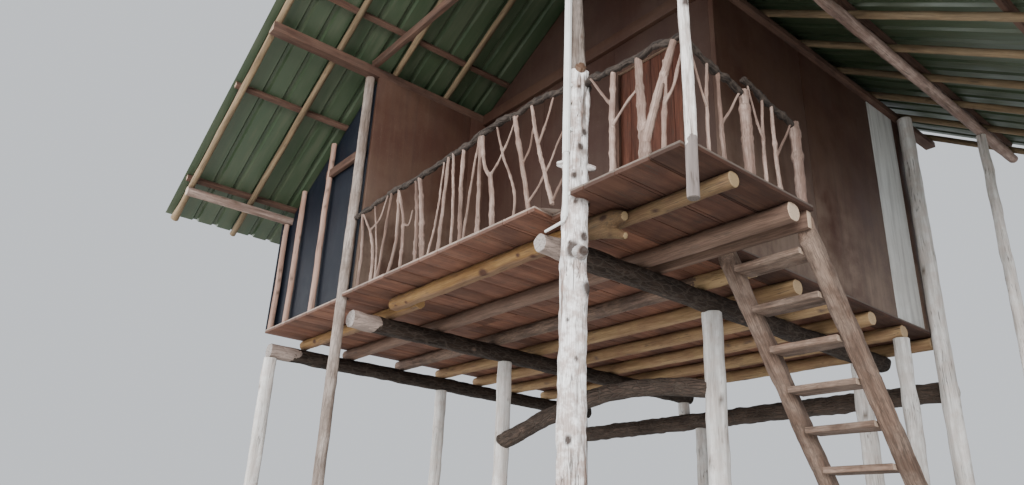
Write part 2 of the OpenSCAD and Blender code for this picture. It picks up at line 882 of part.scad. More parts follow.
module ridge_beam() {
    w = ridge_w / 2;
    color("brown")
        translate([0, verge_y - 40, 0])
            rotate([90, 0, 0])
                linear_extrude(height = roof_len - 80)
                    polygon([[-w, ridge_z - ridge_d], [w, ridge_z - ridge_d], [w, roof_z(w, 0)],
                        [0, ridge_z], [-w, roof_z(w, 0)]]);
}

module eave_beams() {
    color("tan")
        for (x = [bay_x, newel[0]])
            translate([x, verge_y - 40, roof_z(x, -beam_r)])
                rotate([90, 0, 0])
                    cylinder(r = beam_r, h = roof_len - 80);
}

ribs = round(roof_len / rib_pitch);
function rib_line(lift) =
    [for (i = [0 : ribs - 1])
        let (y = -verge_y + (i + 0.5) * roof_len / ribs)
        each [[y - rib_foot / 2, lift], [y - rib_top / 2, rib_h + lift],
            [y + rib_top / 2, rib_h + lift], [y + rib_foot / 2, lift]]];
function reverse(list) = [for (i = [len(list) - 1 : -1 : 0]) list[i]];

module roof_sheets() {
    start = (10 - sheet_h * sin(roof_pitch)) / cos(roof_pitch);
    end = (roof_half - sheet_h * sin(roof_pitch)) / cos(roof_pitch);
    top = concat([[-verge_y, sheet_t]], rib_line(sheet_t), [[verge_y, sheet_t]]);
    bottom = concat([[-verge_y, 0]], rib_line(0), [[verge_y, 0]]);
    color("darkolivegreen")
        for (side = [-1, 1])
            slope(side)
                translate([start, 0, sheet_h])
                    rotate([90, 0, 90])
                        linear_extrude(height = end - start)
                            polygon(concat(bottom, reverse(top)));
}

module ridge_cap() {
    lift = sheet_h + rib_h + sheet_t + seat;
    w = 190;
    color("darkolivegreen")
        translate([0, verge_y, 0])
            rotate([90, 0, 0])
                linear_extrude(height = roof_len)
                    polygon([[-w, roof_z(w, lift)], [0, roof_z(0, lift)], [w, roof_z(w, lift)],
                        [w, roof_z(w, lift + sheet_t)], [0, roof_z(0, lift + sheet_t)],
                        [-w, roof_z(w, lift + sheet_t)]]);
}

// The screened side bay

stud_shares = [0.21, 0.55, 0.9];
stud_bulge = stud_r * knot + seat;
stud_play = 15;
bay_rail_t = 40;
bay_rail_d = 80;
screen_gap = 10;
screen_x = bay_x - 50;
screen_y0 = front_y + 40;
screen_y1 = rear_y + room_lip;

module stud(x, y) {
    top = x < bay_x + 1 ? roof_z(x, -beam_r) - beam_r - seat : roof_z(x - stud_r, 0) - stud_play;
    post(x, y, floor_z, top, stud_r, stud_r * 0.9, x / 7, 3);
}

module bay_studs() {
    rail_z = floor_z + 0.625 * wall_h;
    color("rosybrown")
        for (y = [screen_y0 + stud_bulge, screen_y1 - stud_bulge]) {
            stud(bay_x, y);
            for (share = stud_shares)
                stud(bay_x + share * bay_w, y);
            box([bay_x + stud_shares[1] * bay_w - 50, y - bay_rail_t / 2, rail_z - bay_rail_d / 2],
                [bay_x + stud_shares[2] * bay_w + 60, y + bay_rail_t / 2, rail_z + bay_rail_d / 2]);
        }
}

module end_screen(y, x_end, drop) {
    step_x = bay_x + beam_r + 5;
    step_z = roof_z(bay_x, -beam_r) - beam_r - 5;
    translate([0, y, 0])
        rotate([90, 0, 0])
            linear_extrude(height = screen_t)
                polygon([[screen_x, floor_z - drop], [x_end, floor_z - drop],
                    [x_end, roof_z(x_end, -screen_gap)], [step_x, roof_z(step_x, -screen_gap)],
                    [step_x, step_z], [screen_x, step_z]]);
}

module bay_screens() {
    side_x = screen_x - seat;
    color("darkslategray") {
        difference() {
            end_screen(screen_y0 + 2 * stud_bulge + seat + screen_t, deck_left - 2, -seat);
            upright(corner_post, corner_post_r * knot + 1);
        }
        end_screen(screen_y1 + seat + screen_t, deck_left - 2, board_t);
        box([side_x - screen_t, screen_y0, floor_z - board_t],
            [side_x, screen_y1, roof_z(side_x - screen_t, -screen_gap)]);
    }
}

// Stair

function stringer_path(x, turn) =
    let (y_foot = landing_y - run / 2 + (floor_z + 120) / stair_slope, y_top = landing_y - 60)
    [for (i = [0 : 8])
        let (t = i / 8, y = y_foot + (y_top - y_foot) * t)
        [x + 5 * sin(200 * t + turn), y, stair_axis_z(y) + 8 * sin(180 * t),
         stringer_r * (1 + 0.04 * (1 - 2 * t))]];

module stringer(side) {
    x = stair_x + side * (stair_w / 2 + 50);
    inner = stair_x + side * stair_w / 2;
    color("dimgray")
        difference() {
            limb(stringer_path(x, 90 + 60 * side), 12, 0.03);
            below(0);
            translate([side > 0 ? inner - far : inner, -far / 2, 0]) cube([far, far, far]);
            translate([0, landing_y - far, 0]) cube([far, far, far]);
        }
}

module stair_stringers() {
    stringer(-1);
    stringer(1);
}

module stair_treads() {
    color("dimgray")
        for (k = [1 : risers - 1])
            translate([stair_x - stair_w / 2, landing_y + (k - 0.5) * run - tread_d / 2,
                floor_z - k * rise - tread_t])
                cube([stair_w, tread_d, tread_t]);
}

// The conduit down the face of the front post: a flat casing, wider above, and a bent pipe
casing_w = 34;
casing_d = 20;
wide_casing_w = 48;
casing_step = 270;
casing_foot = 155;
pipe_reach = 250;
pipe_fall = 26;
clip_w = 20;
clip_in = 30;

module post_conduit() {
    x = front_post[0] + 16;
    y = front_post[1] - front_post_r * knot - casing_d;
    foot_z = floor_z - casing_foot;
    step_z = floor_z + casing_step;
    pipe_y = y + casing_d / 2;
    path = [[x + 4, pipe_y, foot_z + 30, pipe_r], [x + 1, pipe_y, foot_z - 4, pipe_r],
        [x - 10, pipe_y, foot_z - 0.8 * pipe_fall, pipe_r],
        [x - 34, pipe_y + 2, foot_z - pipe_fall, pipe_r],
        [x - pipe_reach, pipe_y + 72, foot_z + 2, pipe_r]];
    color("white") {
        difference() {
            union() {
                box([x - casing_w / 2, y, foot_z], [x + casing_w / 2, y + casing_d, step_z + 10]);
                box([x - wide_casing_w / 2, y - 4, step_z],
                    [x + wide_casing_w / 2, y + casing_d, plate_top - wall_beam_d]);
                for (z = [floor_z - 5, step_z + 160, step_z + 480, plate_top - 2 * wall_beam_d])
                    box([x - clip_w / 2, y + casing_d - 2, z],
                        [x + clip_w / 2, front_post[1] - clip_in, z + clip_w]);
                limb(path, 12, 0);
            }
            front_log();
            upper_log();
        }
    }
}

front_post();
front_post_upper();
left_corner_post();
right_corner_post();
under_floor_posts();
rear_posts();
rear_log_beam();
arched_log();
main_girder_log();
side_girder_logs();
front_joist();
forked_joist_splice();
landing_joists();
floor_joists();
porch_deck();
room_floor();
bay_floor();
front_left_railing();
front_right_railing();
side_railing();
front_wall_left();
front_wall_right();
front_wall_over_door();
left_wall();
right_wall();
rear_wall();
gables();
wall_plates();
cross_beams();
door_frame();
door();
hinge_pins();
hinge_knuckles();
ridge_beam();
eave_beams();
pole_rafters();
purlins();
roof_sheets();
ridge_cap();
bay_studs();
bay_screens();
stair_stringers();
stair_treads();
post_conduit();
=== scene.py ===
"""Looks of the tree house: natural logs, sawn boards, branch railings, roof sheets and a studio."""

import logging
import math
from collections.abc import Callable, Sequence
from dataclasses import dataclass, field
from enum import Enum
from typing import Any, ClassVar

import bmesh
import bpy
import numpy as np
from mathutils import Matrix, Vector, noise
from mathutils.bvhtree import BVHTree

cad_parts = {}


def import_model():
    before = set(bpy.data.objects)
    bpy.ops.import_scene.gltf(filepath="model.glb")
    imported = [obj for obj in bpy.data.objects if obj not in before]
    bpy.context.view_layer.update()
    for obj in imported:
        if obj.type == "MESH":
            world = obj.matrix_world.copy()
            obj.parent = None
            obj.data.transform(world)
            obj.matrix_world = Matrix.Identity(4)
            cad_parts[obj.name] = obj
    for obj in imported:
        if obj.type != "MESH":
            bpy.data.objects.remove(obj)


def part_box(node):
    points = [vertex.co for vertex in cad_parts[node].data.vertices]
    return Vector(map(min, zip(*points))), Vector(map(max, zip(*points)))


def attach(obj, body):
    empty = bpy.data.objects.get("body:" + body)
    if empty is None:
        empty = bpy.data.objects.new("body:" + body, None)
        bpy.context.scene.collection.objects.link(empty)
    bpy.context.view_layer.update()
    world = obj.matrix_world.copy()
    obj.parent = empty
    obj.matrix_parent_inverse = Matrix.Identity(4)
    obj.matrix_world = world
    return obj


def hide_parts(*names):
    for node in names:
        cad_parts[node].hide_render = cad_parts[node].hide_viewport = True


LOG = logging.getLogger("tree_house")
HOUSE = "house"
LEAF = "door_leaf"
ROUND_EDGE = 0.7
SAWN_EDGE = 0.5
NOISE_SEED = 7

Colour = tuple[float, float, float]
Faces = list[tuple[int, ...]]
Solid = tuple[np.ndarray, Faces]
Socket = bpy.types.NodeSocket


class Along(Enum):
    """Direction in which the fibres of a piece run."""

    X = (1.0, 0.0, 0.0)
    Y = (0.0, 1.0, 0.0)
    Z = (0.0, 0.0, 1.0)

    @property
    def vector(self) -> np.ndarray:
        """The direction as an array."""
        return np.array(self.value)


# Shaders


class Graph:
    """Short calls for making and joining the nodes of one tree."""

    def __init__(self, tree: bpy.types.NodeTree) -> None:
        """Keeps the tree that the nodes go into."""
        self.tree = tree

    def put(self, socket: Socket, value: Any) -> None:
        """Joins a socket to an input, or sets the input's number or colour.

        Args:
            socket: The input.
            value: An output socket, a number or a tuple.
        """
        if isinstance(value, bpy.types.NodeSocket):
            self.tree.links.new(value, socket)
        elif socket.type == "RGBA" and len(value) == 3:
            socket.default_value = (*value, 1.0)
        else:
            socket.default_value = value

    def node(self, kind: str, inputs: dict[str | int, Any] | None = None, **settings: Any) -> bpy.types.Node:
        """Adds a node.

        Args:
            kind: The node's type, without its leading ShaderNode.
            inputs: Values or sockets by input name or index.
            **settings: The node's own properties.

        Returns:
            The node.
        """
        made = self.tree.nodes.new("ShaderNode" + kind)
        for key, value in settings.items():
            setattr(made, key, value)
        for key, value in (inputs or {}).items():
            self.put(made.inputs[key], value)
        return made

    def math(self, operation: str, a: Any, b: Any = 0.0) -> Socket:
        """One operation on two numbers."""
        return self.node("Math", {0: a, 1: b}, operation=operation).outputs[0]

    def times(self, a: Any, b: Any) -> Socket:
        """The product of two numbers."""
        return self.math("MULTIPLY", a, b)

    def plus(self, a: Any, b: Any) -> Socket:
        """The sum of two numbers."""
        return self.math("ADD", a, b)

    def minus(self, a: Any, b: Any) -> Socket:
        """The first number less the second."""
        return self.math("SUBTRACT", a, b)

    def vector(self, operation: str, a: Any, b: Any) -> Socket:
        """One operation on two vectors."""
        return self.node("VectorMath", {0: a, 1: b}, operation=operation).outputs[0]

    def span(self, value: Any, low: float, high: float, to_low: float = 0.0, to_high: float = 1.0) -> Socket:
        """Maps low..high to to_low..to_high, smoothly and clamped."""
        ends = {0: value, 1: low, 2: high, 3: to_low, 4: to_high}
        return self.node("MapRange", ends, interpolation_type="SMOOTHSTEP").outputs[0]

    def mix(self, share: Any, a: Any, b: Any, blend: str = "MIX") -> Socket:
        """Mixes two colours."""
        made = self.node("Mix", {0: share, 6: a, 7: b}, data_type="RGBA", blend_type=blend)
        return made.outputs[2]

    def noise(self, at: Socket, scale: float, detail: float = 3.0, rough: float = 0.55) -> Socket:
        """Noise from 0 to 1 at a place."""
        values = {"Vector": at, "Scale": scale, "Detail": detail, "Roughness": rough}
        return self.node("TexNoise", values).outputs["Fac"]

    def stretched(self, at: Socket, share: float) -> Socket:
        """A place with its third number, which runs along the fibres, scaled down."""
        return self.vector("MULTIPLY", at, (1.0, 1.0, share))

    def third(self, at: Socket) -> Socket:
        """The third number of a vector."""
        return self.node("SeparateXYZ", {0: at}).outputs[2]

    def place(self) -> Socket:
        """The place on the house, in metres."""
        return self.node("TexCoord").outputs["Object"]

    def mask(self, name: str) -> Socket:
        """A number that the mesh holds at each point or face."""
        return self.node("Attribute", attribute_name=name).outputs["Fac"]

    def grain(self) -> Socket:
        """The place in the timber, with the fibres along its third number."""
        return self.node("Attribute", attribute_name="grain").outputs["Vector"]

    def toned(self, colour: Socket, share: float, least: float) -> Socket:
        """Makes a colour lighter or darker by the tone of its board or log.

        Args:
            colour: The colour.
            share: How much lighter the lightest is than the darkest.
            least: What the darkest is multiplied by.

        Returns:
            The toned colour.
        """
        tone = self.plus(self.times(self.mask("tone"), share), least)
        grey = self.node("CombineXYZ", {0: tone, 1: tone, 2: tone}).outputs[0]
        return self.mix(1.0, colour, grey, "MULTIPLY")


def grain_effect(g: Graph, s: dict[str, Socket]) -> dict[str, Socket]:
    """Soft tone, fine fibres and drying cracks along the third number of Vector.

    Args:
        g: The group's graph.
        s: The group's inputs by name.

    Returns:
        The group's outputs by name.
    """
    sway = g.node("TexNoise", {"Vector": g.stretched(s["Vector"], 0.3), "Scale": 4.0}).outputs["Color"]
    at = g.vector("ADD", s["Vector"], g.vector("MULTIPLY", sway, (0.03, 0.03, 0.0)))
    tone = g.noise(g.stretched(at, 0.08), 16.0, 5.0, 0.6)
    fibre = g.noise(g.stretched(at, 0.03), 190.0, 3.0, 0.7)
    line = g.math("ABSOLUTE", g.minus(g.noise(g.stretched(at, 0.035), 34.0, 2.0), 0.5))
    patch = g.span(g.noise(s["Vector"], 6.0, 2.0), 0.45, 0.6)
    cracks = g.times(g.span(line, 0.0, 0.022, 1.0, 0.0), patch)
    return {"Tone": tone, "Fibre": fibre, "Cracks": cracks}


def bark_effect(g: Graph, s: dict[str, Socket]) -> dict[str, Socket]:
    """Long plates of bark with dark furrows between them.

    Args:
        g: The group's graph.
        s: The group's inputs by name.

    Returns:
        The group's outputs by name.
    """
    sway = g.node("TexNoise", {"Vector": s["Vector"], "Scale": 9.0, "Detail": 3.0}).outputs["Color"]
    at = g.vector("ADD", s["Vector"], g.vector("MULTIPLY", sway, (0.05, 0.05, 0.09)))
    cells = g.node("TexVoronoi", {"Vector": g.stretched(at, 0.22), "Scale": 34.0}, feature="DISTANCE_TO_EDGE")
    furrow = g.span(cells.outputs["Distance"], 0.0, 0.16, 1.0, 0.0)
    plate = g.noise(g.stretched(at, 0.3), 60.0, 4.0, 0.65)
    return {"Furrow": furrow, "Plate": plate}


def knot_effect(g: Graph, s: dict[str, Socket]) -> dict[str, Socket]:
    """Small oval knots in some of the cells of a grid.

    Args:
        g: The group's graph.
        s: The group's inputs by name.

    Returns:
        The group's outputs by name.
    """
    cells = g.node("TexVoronoi", {"Vector": g.stretched(s["Vector"], 0.45), "Scale": s["Scale"]})
    pick = g.node("SeparateColor", {0: cells.outputs["Color"]}).outputs[0]
    chosen = g.span(pick, 0.7, 0.72)
    core = g.span(cells.outputs["Distance"], 0.03, 0.13, 1.0, 0.0)
    rings = g.math("SINE", g.times(cells.outputs["Distance"], 90.0))
    return {"Mask": g.times(core, chosen), "Rings": g.times(rings, core)}


def weather_and_painted_light_effect(g: Graph, s: dict[str, Socket]) -> dict[str, Socket]:
    """Broad patches, small specks and grime, by place on the house, and masks of upward and downward faces,
    which some finishes use for painted light and shade.

    Args:
        g: The group's graph.
        s: The group's inputs by name.

    Returns:
        The group's outputs by name.
    """
    place = g.place()
    patch = g.span(g.noise(place, s["Scale"], 5.0, 0.6), 0.4, 0.62)
    speck = g.span(g.noise(place, 75.0, 3.0, 0.7), 0.6, 0.72)
    grime = g.noise(place, 2.3, 6.0, 0.65)
    # Top and Under mask upward and downward faces: Top carries the deck's weathered grey and the roof's
    # painted light, Under the front joist's painted shade.
    up = g.node("SeparateXYZ", {0: g.node("NewGeometry").outputs["Normal"]}).outputs[2]
    under = g.span(up, -0.92, -0.6, 1.0, 0.0)
    return {"Patch": patch, "Speck": speck, "Grime": grime, "Top": g.span(up, 0.2, 0.9), "Under": under}


def cut_effect(g: Graph, s: dict[str, Socket]) -> dict[str, Socket]:
    """Year rings and star cracks of a cut end, round the heart of the log.

    Args:
        g: The group's graph.
        s: The group's inputs by name.

    Returns:
        The group's outputs by name.
    """
    flat = g.vector("MULTIPLY", s["Vector"], (1.0, 1.0, 0.0))
    wobble = g.times(g.noise(flat, 20.0, 2.0), 0.02)
    far = g.plus(g.node("VectorMath", {0: flat}, operation="LENGTH").outputs["Value"], wobble)
    rings = g.math("SINE", g.times(far, 1500.0))
    parts = g.node("SeparateXYZ", {0: flat})
    turn = g.math("ARCTAN2", parts.outputs[1], parts.outputs[0])
    star = g.math("ABSOLUTE", g.math("SINE", g.plus(g.times(turn, 3.5), far)))
    return {"Rings": rings, "Star": g.span(star, 0.0, 0.09, 1.0, 0.0)}


def weave_effect(g: Graph, s: dict[str, Socket]) -> dict[str, Socket]:
    """Flat tapes woven over and under each other, with a painted highlight on the raised crossings.

    Args:
        g: The group's graph.
        s: The group's inputs by name.

    Returns:
        The group's outputs by name.
    """
    across = g.node("TexWave", {"Vector": s["Vector"], "Scale": s["Scale"]}, bands_direction="Y")
    down = g.node("TexWave", {"Vector": s["Vector"], "Scale": s["Scale"]}, bands_direction="Z")
    both = g.times(across.outputs["Fac"], down.outputs["Fac"])
    # The second output is a painted highlight on the raised crossings.
    return {"Height": both, "Shade": g.span(both, 0.1, 0.7)}


EFFECTS: dict[str, tuple[Callable, tuple[str, ...], tuple[str, ...]]] = {
    "timber_grain": (grain_effect, ("Vector",), ("Tone", "Fibre", "Cracks")),
    "bark_plates": (bark_effect, ("Vector",), ("Furrow", "Plate")),
    "small_knots": (knot_effect, ("Vector", "Scale"), ("Mask", "Rings")),
    "weathering": (weather_and_painted_light_effect, ("Scale",), ("Patch", "Speck", "Grime", "Top", "Under")),
    "cut_end": (cut_effect, ("Vector",), ("Rings", "Star")),
    "tape_weave": (weave_effect, ("Vector", "Scale"), ("Height", "Shade")),
}


def effect(g: Graph, name: str, **inputs: Any) -> dict[str, Socket]:
    """Places a shared effect, and builds its node group the first time.

    Args:
        g: The material's graph.
        name: The effect's name in EFFECTS.
        **inputs: Sockets or values by input name.

    Returns:
        The effect's outputs by name.
    """
    tree = bpy.data.node_groups.get(name)
    if tree is None:
        body, takes, gives = EFFECTS[name]
        tree = bpy.data.node_groups.new(name, "ShaderNodeTree")
        for key in takes:
            kind = "NodeSocketVector" if key == "Vector" else "NodeSocketFloat"
            tree.interface.new_socket(name=key, in_out="INPUT", socket_type=kind)
        for key in gives:
            tree.interface.new_socket(name=key, in_out="OUTPUT", socket_type="NodeSocketFloat")
        inner = Graph(tree)
        source = tree.nodes.new("NodeGroupInput")
        made = body(inner, {key: source.outputs[key] for key in takes})
        sink = tree.nodes.new("NodeGroupOutput")
        for key in gives:
            inner.put(sink.inputs[key], made[key])
    placed = g.node("Group", node_tree=tree)
    for key, value in inputs.items():
        g.put(placed.inputs[key], value)
    return {key: placed.outputs[key] for key in EFFECTS[name][2]}


@dataclass(frozen=True)
class Finish:
    """A material that is built once, from the values of one real finish."""

    name: str

    def material(self) -> bpy.types.Material:
        """Makes the material at the first call and finds it again at the others.

        Returns:
            The material.
        """
        made = bpy.data.materials.get(self.name)
        if made is None:
            made = bpy.data.materials.new(self.name)
            made.use_nodes = True
            made.node_tree.nodes.clear()
            g = Graph(made.node_tree)
            shader = g.node("BsdfPrincipled")
            out = g.node("OutputMaterial")
            g.put(out.inputs["Surface"], shader.outputs[0])
            self.dress(g, shader)
        return made

    def dress(self, g: Graph, shader: bpy.types.Node) -> None:
        """Feeds the shader; each kind of finish has its own way.

        Args:
            g: The material's graph.
            shader: The shader.
        """
        raise NotImplementedError

    @staticmethod
    def surface(g: Graph, shader: bpy.types.Node, colour: Socket, rough: Socket, height: Socket,
                depth: float, specular: float = 0.5) -> None:
        """Feeds the shader's colour, roughness and relief.

        Args:
            g: The material's graph.
            shader: The shader.
            colour: The colour.
            rough: The roughness.
            height: The relief, from 0 to about 1.
            depth: The relief's depth in metres.
            specular: The strength of the reflections.
        """
        g.put(shader.inputs["Base Color"], colour)
        g.put(shader.inputs["Roughness"], rough)
        relief = g.node("Bump", {"Strength": 1.0, "Distance": depth, "Height": height})
        g.put(shader.inputs["Normal"], relief.outputs[0])
        shader.inputs["Specular IOR Level"].default_value = specular


@dataclass(frozen=True)
class Wood(Finish):
    """Bare, weathered or stained wood, whose fibres follow the mesh's own grain."""

    dark: Colour = (0.3, 0.25, 0.2)
    light: Colour = (0.6, 0.55, 0.5)
    patch: Colour = (0.4, 0.3, 0.25)
    patch_share: float = 0.4
    patch_scale: float = 5.0
    knot: Colour = (0.12, 0.08, 0.06)
    crack: Colour = (0.06, 0.045, 0.035)
    crack_share: float = 0.7
    end: Colour = (0.55, 0.5, 0.44)
    fibre: float = 0.35
    knots: float = 9.0
    bark: float = 0.0
    bark_rise: float = 2.2
    tone_span: tuple[float, float] = (0.3, 0.7)
    top: Colour | None = None
    # The under colour is painted shade, mixed onto downward faces.
    under: Colour | None = None
    bare: Colour | None = None
    bare_way: tuple[float, float, float] = (1.0, 0.0, 0.0)
    bare_at: float = 0.0
    ragged: float = 0.5
    arris: Colour | None = None
    arris_z: float = 0.0
    streaks: tuple[float, float] | None = None
    relief: float = 0.0012
    rough: float = 0.78

    def dress(self, g: Graph, shader: bpy.types.Node) -> None:
        """Colour, roughness and relief from the grain, bark, knots and weather.

        Args:
            g: The material's graph.
            shader: The shader.
        """
        at = g.grain()
        grain = effect(g, "timber_grain", Vector=at)
        small = effect(g, "small_knots", Vector=at, Scale=self.knots)
        colour = self.weathered(g, grain)
        height = g.plus(g.times(grain["Fibre"], 0.35), g.times(grain["Tone"], 0.5))
        if self.bark > 0:
            plates = effect(g, "bark_plates", Vector=at)
            colour = g.mix(g.times(plates["Furrow"], self.bark), colour, self.crack)
            rise = g.minus(plates["Plate"], plates["Furrow"])
            height = g.plus(height, g.times(rise, self.bark_rise * self.bark))
        if self.bare is not None:
            colour = self.bared(g, grain, colour)
        cracks = self.cracked(g, at, grain)
        colour = g.mix(cracks, colour, self.crack)
        marks = g.math("MAXIMUM", g.mask("knot"), g.times(small["Mask"], 0.8))
        colour = g.mix(g.times(marks, 0.95), colour, self.knot)
        colour = g.mix(g.mask("cut"), colour, self.sawn_end(g, at))
        if self.arris is not None:
            rise = g.plus(g.third(g.place()), g.times(grain["Tone"], 0.012))
            colour = g.mix(g.span(rise, self.arris_z, self.arris_z + 0.008), colour, self.arris)
        height = g.minus(height, g.times(cracks, 0.9))
        height = g.plus(height, g.times(small["Rings"], 0.25))
        rough = g.span(grain["Tone"], 0.2, 0.8, self.rough + 0.12, self.rough - 0.1)
        self.surface(g, shader, g.toned(colour, 0.8, 0.6), rough, height, self.relief, 0.25)

    def weathered(self, g: Graph, grain: dict[str, Socket]) -> Socket:
        """The colour of the fibres, with the patches that the weather leaves, and painted shade on downward
        faces where an under colour is given.

        Args:
            g: The material's graph.
            grain: The outputs of the timber's grain.

        Returns:
            The colour.
        """
        weather = effect(g, "weathering", Scale=self.patch_scale)
        colour = g.mix(g.span(grain["Tone"], *self.tone_span), self.dark, self.light)
        colour = g.mix(g.times(weather["Patch"], self.patch_share), colour, self.patch)
        if self.top is not None:
            colour = g.mix(g.times(weather["Top"], 0.85), colour, self.top)
        # Painted shade: downward faces are mixed towards the under colour.
        if self.under is not None:
            colour = g.mix(g.times(weather["Under"], 0.7), colour, self.under)
        lines = g.times(g.span(grain["Fibre"], 0.35, 0.65, 1.0, 0.0), self.fibre)
        return g.mix(lines, colour, self.dark, "MULTIPLY")

    def bared(self, g: Graph, grain: dict[str, Socket], colour: Socket) -> Socket:
        """The colour with bare wood past a ragged edge.

        Args:
            g: The material's graph.
            grain: The outputs of the timber's grain.
            colour: The colour before the edge.

        Returns:
            The colour on both sides.
        """
        place = g.place()
        side = g.node("VectorMath", {0: place, 1: self.bare_way}, operation="DOT_PRODUCT").outputs["Value"]
        edge = g.plus(side, g.times(g.noise(place, 7.0, 5.0), self.ragged))
        wood = g.mix(g.span(grain["Tone"], 0.3, 0.7), tuple(0.6 * c for c in self.bare), self.bare)
        middle = self.bare_at + self.ragged / 2
        return g.mix(g.span(edge, middle - 0.004, middle + 0.004), colour, wood)

    def cracked(self, g: Graph, at: Socket, grain: dict[str, Socket]) -> Socket:
        """The drying cracks, and the dark streaks between two heights.

        Args:
            g: The material's graph.
            at: The place in the timber.
            grain: The outputs of the timber's grain.

        Returns:
            The mask of both.
        """
        cracks = g.times(grain["Cracks"], self.crack_share)
        if self.streaks is None:
            return cracks
        up = g.third(g.place())
        low, high = self.streaks
        band = g.times(g.span(up, low, low + 0.15), g.span(up, high - 0.05, high, 1.0, 0.0))
        lines = g.span(g.noise(g.stretched(at, 0.03), 42.0, 3.0), 0.54, 0.62)
        return g.math("MAXIMUM", cracks, g.times(g.times(lines, band), 0.85))

    def sawn_end(self, g: Graph, at: Socket) -> Socket:
        """The colour of a sawn end, with its rings and star cracks.

        Args:
            g: The material's graph.
            at: The place in the grain.

        Returns:
            The colour.
        """
        ends = effect(g, "cut_end", Vector=at)
        face = g.mix(g.span(ends["Rings"], -1.0, 1.0, 0.0, 0.35), self.end, self.dark)
        return g.mix(g.times(ends["Star"], 0.7), face, self.crack)


@dataclass(frozen=True)
class PaintedWall(Finish):
    """Thin worn paint on plywood, with run marks and a paler, greyer foot."""

    paint: Colour = (0.054, 0.021, 0.0125)
    worn: Colour = (0.095, 0.056, 0.036)
    foot: Colour = (0.2, 0.145, 0.11)
    floor: float = 3.5

    def dress(self, g: Graph, shader: bpy.types.Node) -> None:
        """Colour from paint, wear and run marks, with a faint plywood figure.

        Args:
            g: The material's graph.
            shader: The shader.
        """
        place = g.place()
        weather = effect(g, "weathering", Scale=1.7)
        grain = effect(g, "timber_grain", Vector=g.grain())
        runs = g.noise(g.vector("MULTIPLY", place, (1.0, 1.0, 0.07)), 26.0, 4.0, 0.6)
        up = g.third(place)
        low = g.span(up, self.floor + 0.1, self.floor + 1.5, 0.75, 0.0)
        colour = g.mix(g.times(weather["Patch"], 0.35), self.paint, self.worn)
        colour = g.mix(g.times(low, g.span(weather["Grime"], 0.3, 0.6)), colour, self.foot)
        colour = g.mix(g.span(runs, 0.45, 0.75, 0.0, 0.22), colour, self.worn)
        colour = g.mix(g.span(grain["Tone"], 0.4, 0.75, 0.0, 0.35), colour, (0.035, 0.017, 0.013))
        colour = g.mix(g.times(weather["Speck"], 0.2), colour, (0.22, 0.17, 0.14))
        rough = g.span(weather["Grime"], 0.3, 0.7, 0.55, 0.8)
        height = g.plus(g.times(grain["Fibre"], 0.4), g.times(runs, 0.6))
        self.surface(g, shader, g.toned(colour, 0.5, 0.75), rough, height, 0.0006, 0.35)


@dataclass(frozen=True)
class PaintedSheet(Finish):
    """Dull coil paint on thin steel, with dust in streaks down the slope."""

    paint: Colour = (0.03, 0.052, 0.024)
    dust: Colour = (0.105, 0.105, 0.066)

    def dress(self, g: Graph, shader: bpy.types.Node) -> None:
        """Colour, dust streaks, a few rust specks and painted light on the upper faces.

        Args:
            g: The material's graph.
            shader: The shader.
        """
        place = g.place()
        weather = effect(g, "weathering", Scale=1.3)
        streak = g.noise(g.vector("MULTIPLY", place, (0.12, 1.0, 0.12)), 17.0, 5.0, 0.65)
        colour = g.mix(g.span(streak, 0.4, 0.8, 0.05, 0.55), self.paint, self.dust)
        colour = g.mix(g.times(weather["Patch"], 0.3), colour, (0.05, 0.066, 0.036))
        # Painted light: upward faces are mixed towards a lighter green.
        colour = g.mix(g.times(weather["Top"], 0.3), colour, (0.1, 0.16, 0.09))
        colour = g.mix(g.times(weather["Speck"], 0.2), colour, (0.16, 0.07, 0.03))
        rough = g.span(streak, 0.3, 0.8, 0.38, 0.7)
        self.surface(g, shader, colour, rough, g.plus(streak, weather["Grime"]), 0.0008)
        shader.inputs["Coat Weight"].default_value = 0.08
        shader.inputs["Coat Roughness"].default_value = 0.4


@dataclass(frozen=True)
class Iron(Finish):
    """Dull iron with rust in its patches."""

    metal: Colour = (0.09, 0.08, 0.075)
    rust: Colour = (0.2, 0.075, 0.03)

    def dress(self, g: Graph, shader: bpy.types.Node) -> None:
        """Bare metal that turns rough and brown in patches.

        Args:
            g: The material's graph.
            shader: The shader.
        """
        weather = effect(g, "weathering", Scale=40.0)
        colour = g.mix(weather["Patch"], self.metal, self.rust)
        rough = g.plus(g.times(weather["Patch"], 0.4), 0.42)
        self.surface(g, shader, colour, rough, weather["Speck"], 0.0003)
        g.put(shader.inputs["Metallic"], g.minus(0.9, g.times(weather["Patch"], 0.85)))


@dataclass(frozen=True)
class Plastic(Finish):
    """Matt plastic with grime and fine scratches."""

    body: Colour = (0.78, 0.78, 0.76)
    grime: Colour = (0.45, 0.43, 0.38)

    def dress(self, g: Graph, shader: bpy.types.Node) -> None:
        """Grime in patches over a pale body.

        Args:
            g: The material's graph.
            shader: The shader.
        """
        weather = effect(g, "weathering", Scale=9.0)
        share = g.plus(g.times(weather["Patch"], 0.3), g.times(weather["Speck"], 0.2))
        rough = g.span(weather["Grime"], 0.3, 0.7, 0.35, 0.6)
        self.surface(g, shader, g.mix(share, self.body, self.grime), rough, weather["Grime"], 0.0004)


